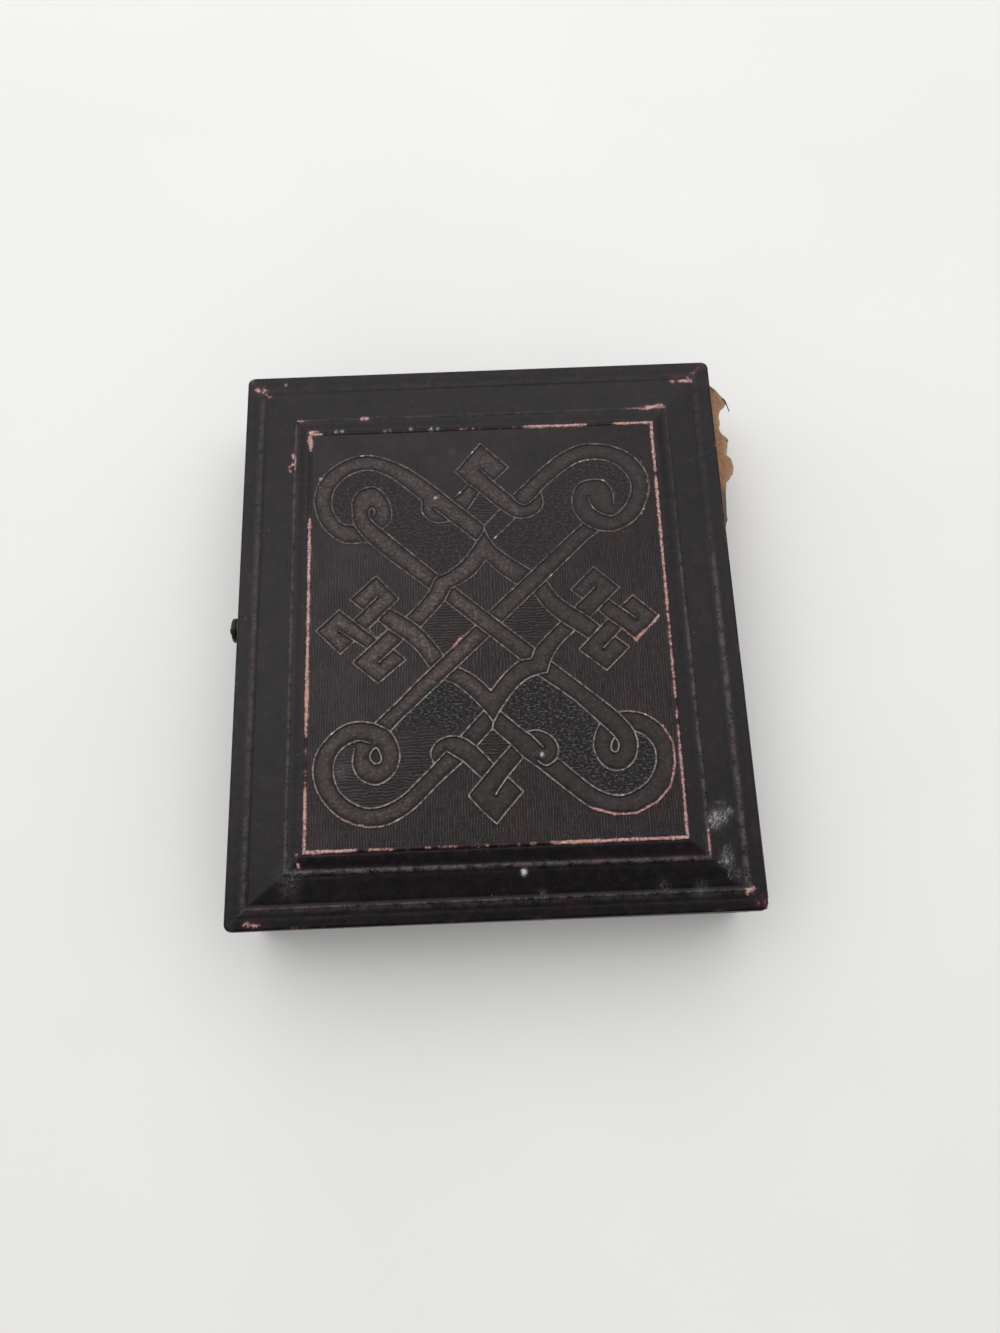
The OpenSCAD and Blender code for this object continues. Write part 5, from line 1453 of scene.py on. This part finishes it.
g = Nodes("silvered_plate")
x, y, z = g.sep()
rad = g.math("SQRT", g.add(g.mul(g.mul(x, 1 / 25.0), g.mul(x, 1 / 25.0)), g.mul(g.mul(y, 1 / 31.0), g.mul(y, 1 / 31.0))))
rad = g.add(rad, g.mul(g.math("SUBTRACT", g.noise(0.16, 4, 0.65), 0.5), 0.16))
c = g.ramp(rad, [(0.0, (0.62, 0.60, 0.57)), (0.72, (0.60, 0.58, 0.56)), (0.83, (0.52, 0.42, 0.26)), (0.90, (0.30, 0.16, 0.20)),
                 (0.95, (0.10, 0.16, 0.30)), (1.0, (0.12, 0.16, 0.16))])
c = g.mix(g.ss(g.noise(1.6, 5, 0.8), 0.64, 0.72, 0, 0.5), c, (0.16, 0.13, 0.11))
buff = g.noise(5.0, 3, 0.6, stretch=(0.04, 1, 1))
g.set(Base_Color=c, Metallic=1.0, Roughness=g.ss(rad, 0.6, 1.0, 0.12, 0.30), Normal=g.bump(buff, 0.008, 0.5))
paint_node("image_plate", g.mat)
soften("image_plate", 0.04, 2)

g = Nodes("glass")
dust = g.ss(g.noise(0.5, 5, 0.75), 0.55, 0.8)
g.set(Base_Color=(0.93, 0.97, 0.95), Roughness=g.mad(dust, 0.06, 0.01))
g.bsdf.inputs["Transmission Weight"].default_value = 1.0
g.bsdf.inputs["IOR"].default_value = 1.46
paint_node("cover_glass", g.mat)
soften("cover_glass", 0.10, 3)

paint(hinge_ob, plain_leather("hinge_leather"))

# the hook's rivet: a worn flange on its eye and a small domed end
def rivet_boss(cy, cz, n=48):
    prof = np.array([(0.60, -37.1), (0.60, -40.96), (1.90, -40.96), (1.97, -41.02), (1.99, -41.20), (1.98, -41.45), (1.94, -41.60),
                     (1.84, -41.70), (1.66, -41.75), (1.20, -41.78), (0.84, -41.80), (0.70, -41.86), (0.65, -41.98), (0.60, -42.12),
                     (0.48, -42.23), (0.22, -42.29)])
    a = np.linspace(0, 2 * math.pi, n, endpoint=False)
    r, x = prof[:, :1], prof[:, 1:]
    lump = 1 + 0.02 * np.sin(2 * a + 0.7) + 0.012 * np.sin(5 * a)
    V = np.stack([x + 0 * a, cy + r * lump * np.cos(a), cz + r * lump * np.sin(a)], -1)
    m = len(prof)
    i = np.arange(m * n).reshape(m, n)
    j = np.roll(i, -1, 1)
    V = np.vstack([V.reshape(-1, 3), [prof[0, 1], cy, cz], [-42.30, cy, cz]])
    F = [np.stack([i[:-1], i[1:], j[1:], j[:-1]], -1).reshape(-1, 4),
         np.stack([np.full(n, m * n), i[0], j[0]], -1), np.stack([np.full(n, m * n + 1), j[-1], i[-1]], -1)]
    return V, F

brass = dull_brass("dark_brass")
rivet_ob = mesh_obj("rivet_boss", *rivet_boss(1.5, 13.3))
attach(rivet_ob, "lid")
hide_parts("hook_rivet")
paint(rivet_ob, brass)
for n, w in (("hook", 0.10), ("hook_washer", 0.05), ("catch_stud", 0.12), ("stud_washer", 0.05)):
    soften(n, w, 3)
    paint_node(n, brass)

# ---------------------------------------------------------------- table, light
def floor():
    n = 60
    s = np.linspace(-900, 900, n)
    X, Y = np.meshgrid(s, s)
    V = np.stack([X, Y, np.zeros_like(X)], -1).reshape(-1, 3)
    i = np.arange(n * n).reshape(n, n)
    ob = mesh_obj("table_top", V, [np.stack([i[:-1, :-1], i[:-1, 1:], i[1:, 1:], i[1:, :-1]], -1).reshape(-1, 4)])
    g = Nodes("table_white")
    a = g.noise(0.012, 3, 0.5)
    b = g.noise(0.25, 4, 0.6)
    c = g.mix(g.ss(a, 0.3, 0.7), (0.775, 0.775, 0.765), (0.80, 0.80, 0.79))
    c = g.mix(g.ss(b, 0.55, 0.9, 0, 0.10), c, (0.70, 0.70, 0.69))
    v = g.voronoi(0.035)
    speck = g.mul(g.ss(v, 0.012, 0.007), g.ss(g.noise(0.05, 1, 0.5), 0.5, 0.55))
    c = g.mix(g.mul(speck, 0.6), c, (0.25, 0.25, 0.24))
    g.set(Base_Color=c, Roughness=0.6, Normal=g.bump(g.noise(1.5, 3, 0.5), 0.02, 0.3))
    g.bsdf.inputs["Specular IOR Level"].default_value = 0.2
    paint(ob, g.mat)

floor()

def area(name, loc, size, target, watts, color=(1, 1, 1)):
    L = bpy.data.lights.new(name, "AREA")
    L.shape = "RECTANGLE"
    L.size, L.size_y = size
    L.energy = watts
    L.color = color
    o = bpy.data.objects.new(name, L)
    bpy.context.scene.collection.objects.link(o)
    o.location = loc
    from mathutils import Vector
    o.rotation_euler = (Vector(target) - Vector(loc)).to_track_quat("-Z", "Y").to_euler()
    return o

area("soft_top", (0.0, 0.60, 0.72), (1.5, 1.10), (0.0, 0.60, 0.0), 2.9)
area("soft_over", (0.0, 0.0, 0.90), (1.5, 1.2), (0.0, 0.0, 0.0), 0.55)
area("soft_far", (0.0, 1.10, 0.75), (1.6, 0.8), (0.0, 0.0, 0.0), 2.1)
area("soft_low", (0.0, 0.55, 0.45), (0.8, 0.5), (0.0, 0.0, 0.0), 0.40)
area("soft_left", (-0.70, 0.25, 0.90), (0.8, 1.2), (0.0, 0.0, 0.0), 2.9)
area("soft_right", (0.70, 0.25, 0.90), (0.8, 1.2), (0.0, 0.0, 0.0), 1.8)
world = bpy.data.worlds.new("room")
world.use_nodes = True
world.node_tree.nodes["Background"].inputs[0].default_value = (1.0, 0.99, 0.98, 1.0)
world.node_tree.nodes["Background"].inputs[1].default_value = 0.57
bpy.context.scene.world = world
world.cycles_visibility.glossy = False
bpy.context.scene.view_settings.view_transform = "Standard"

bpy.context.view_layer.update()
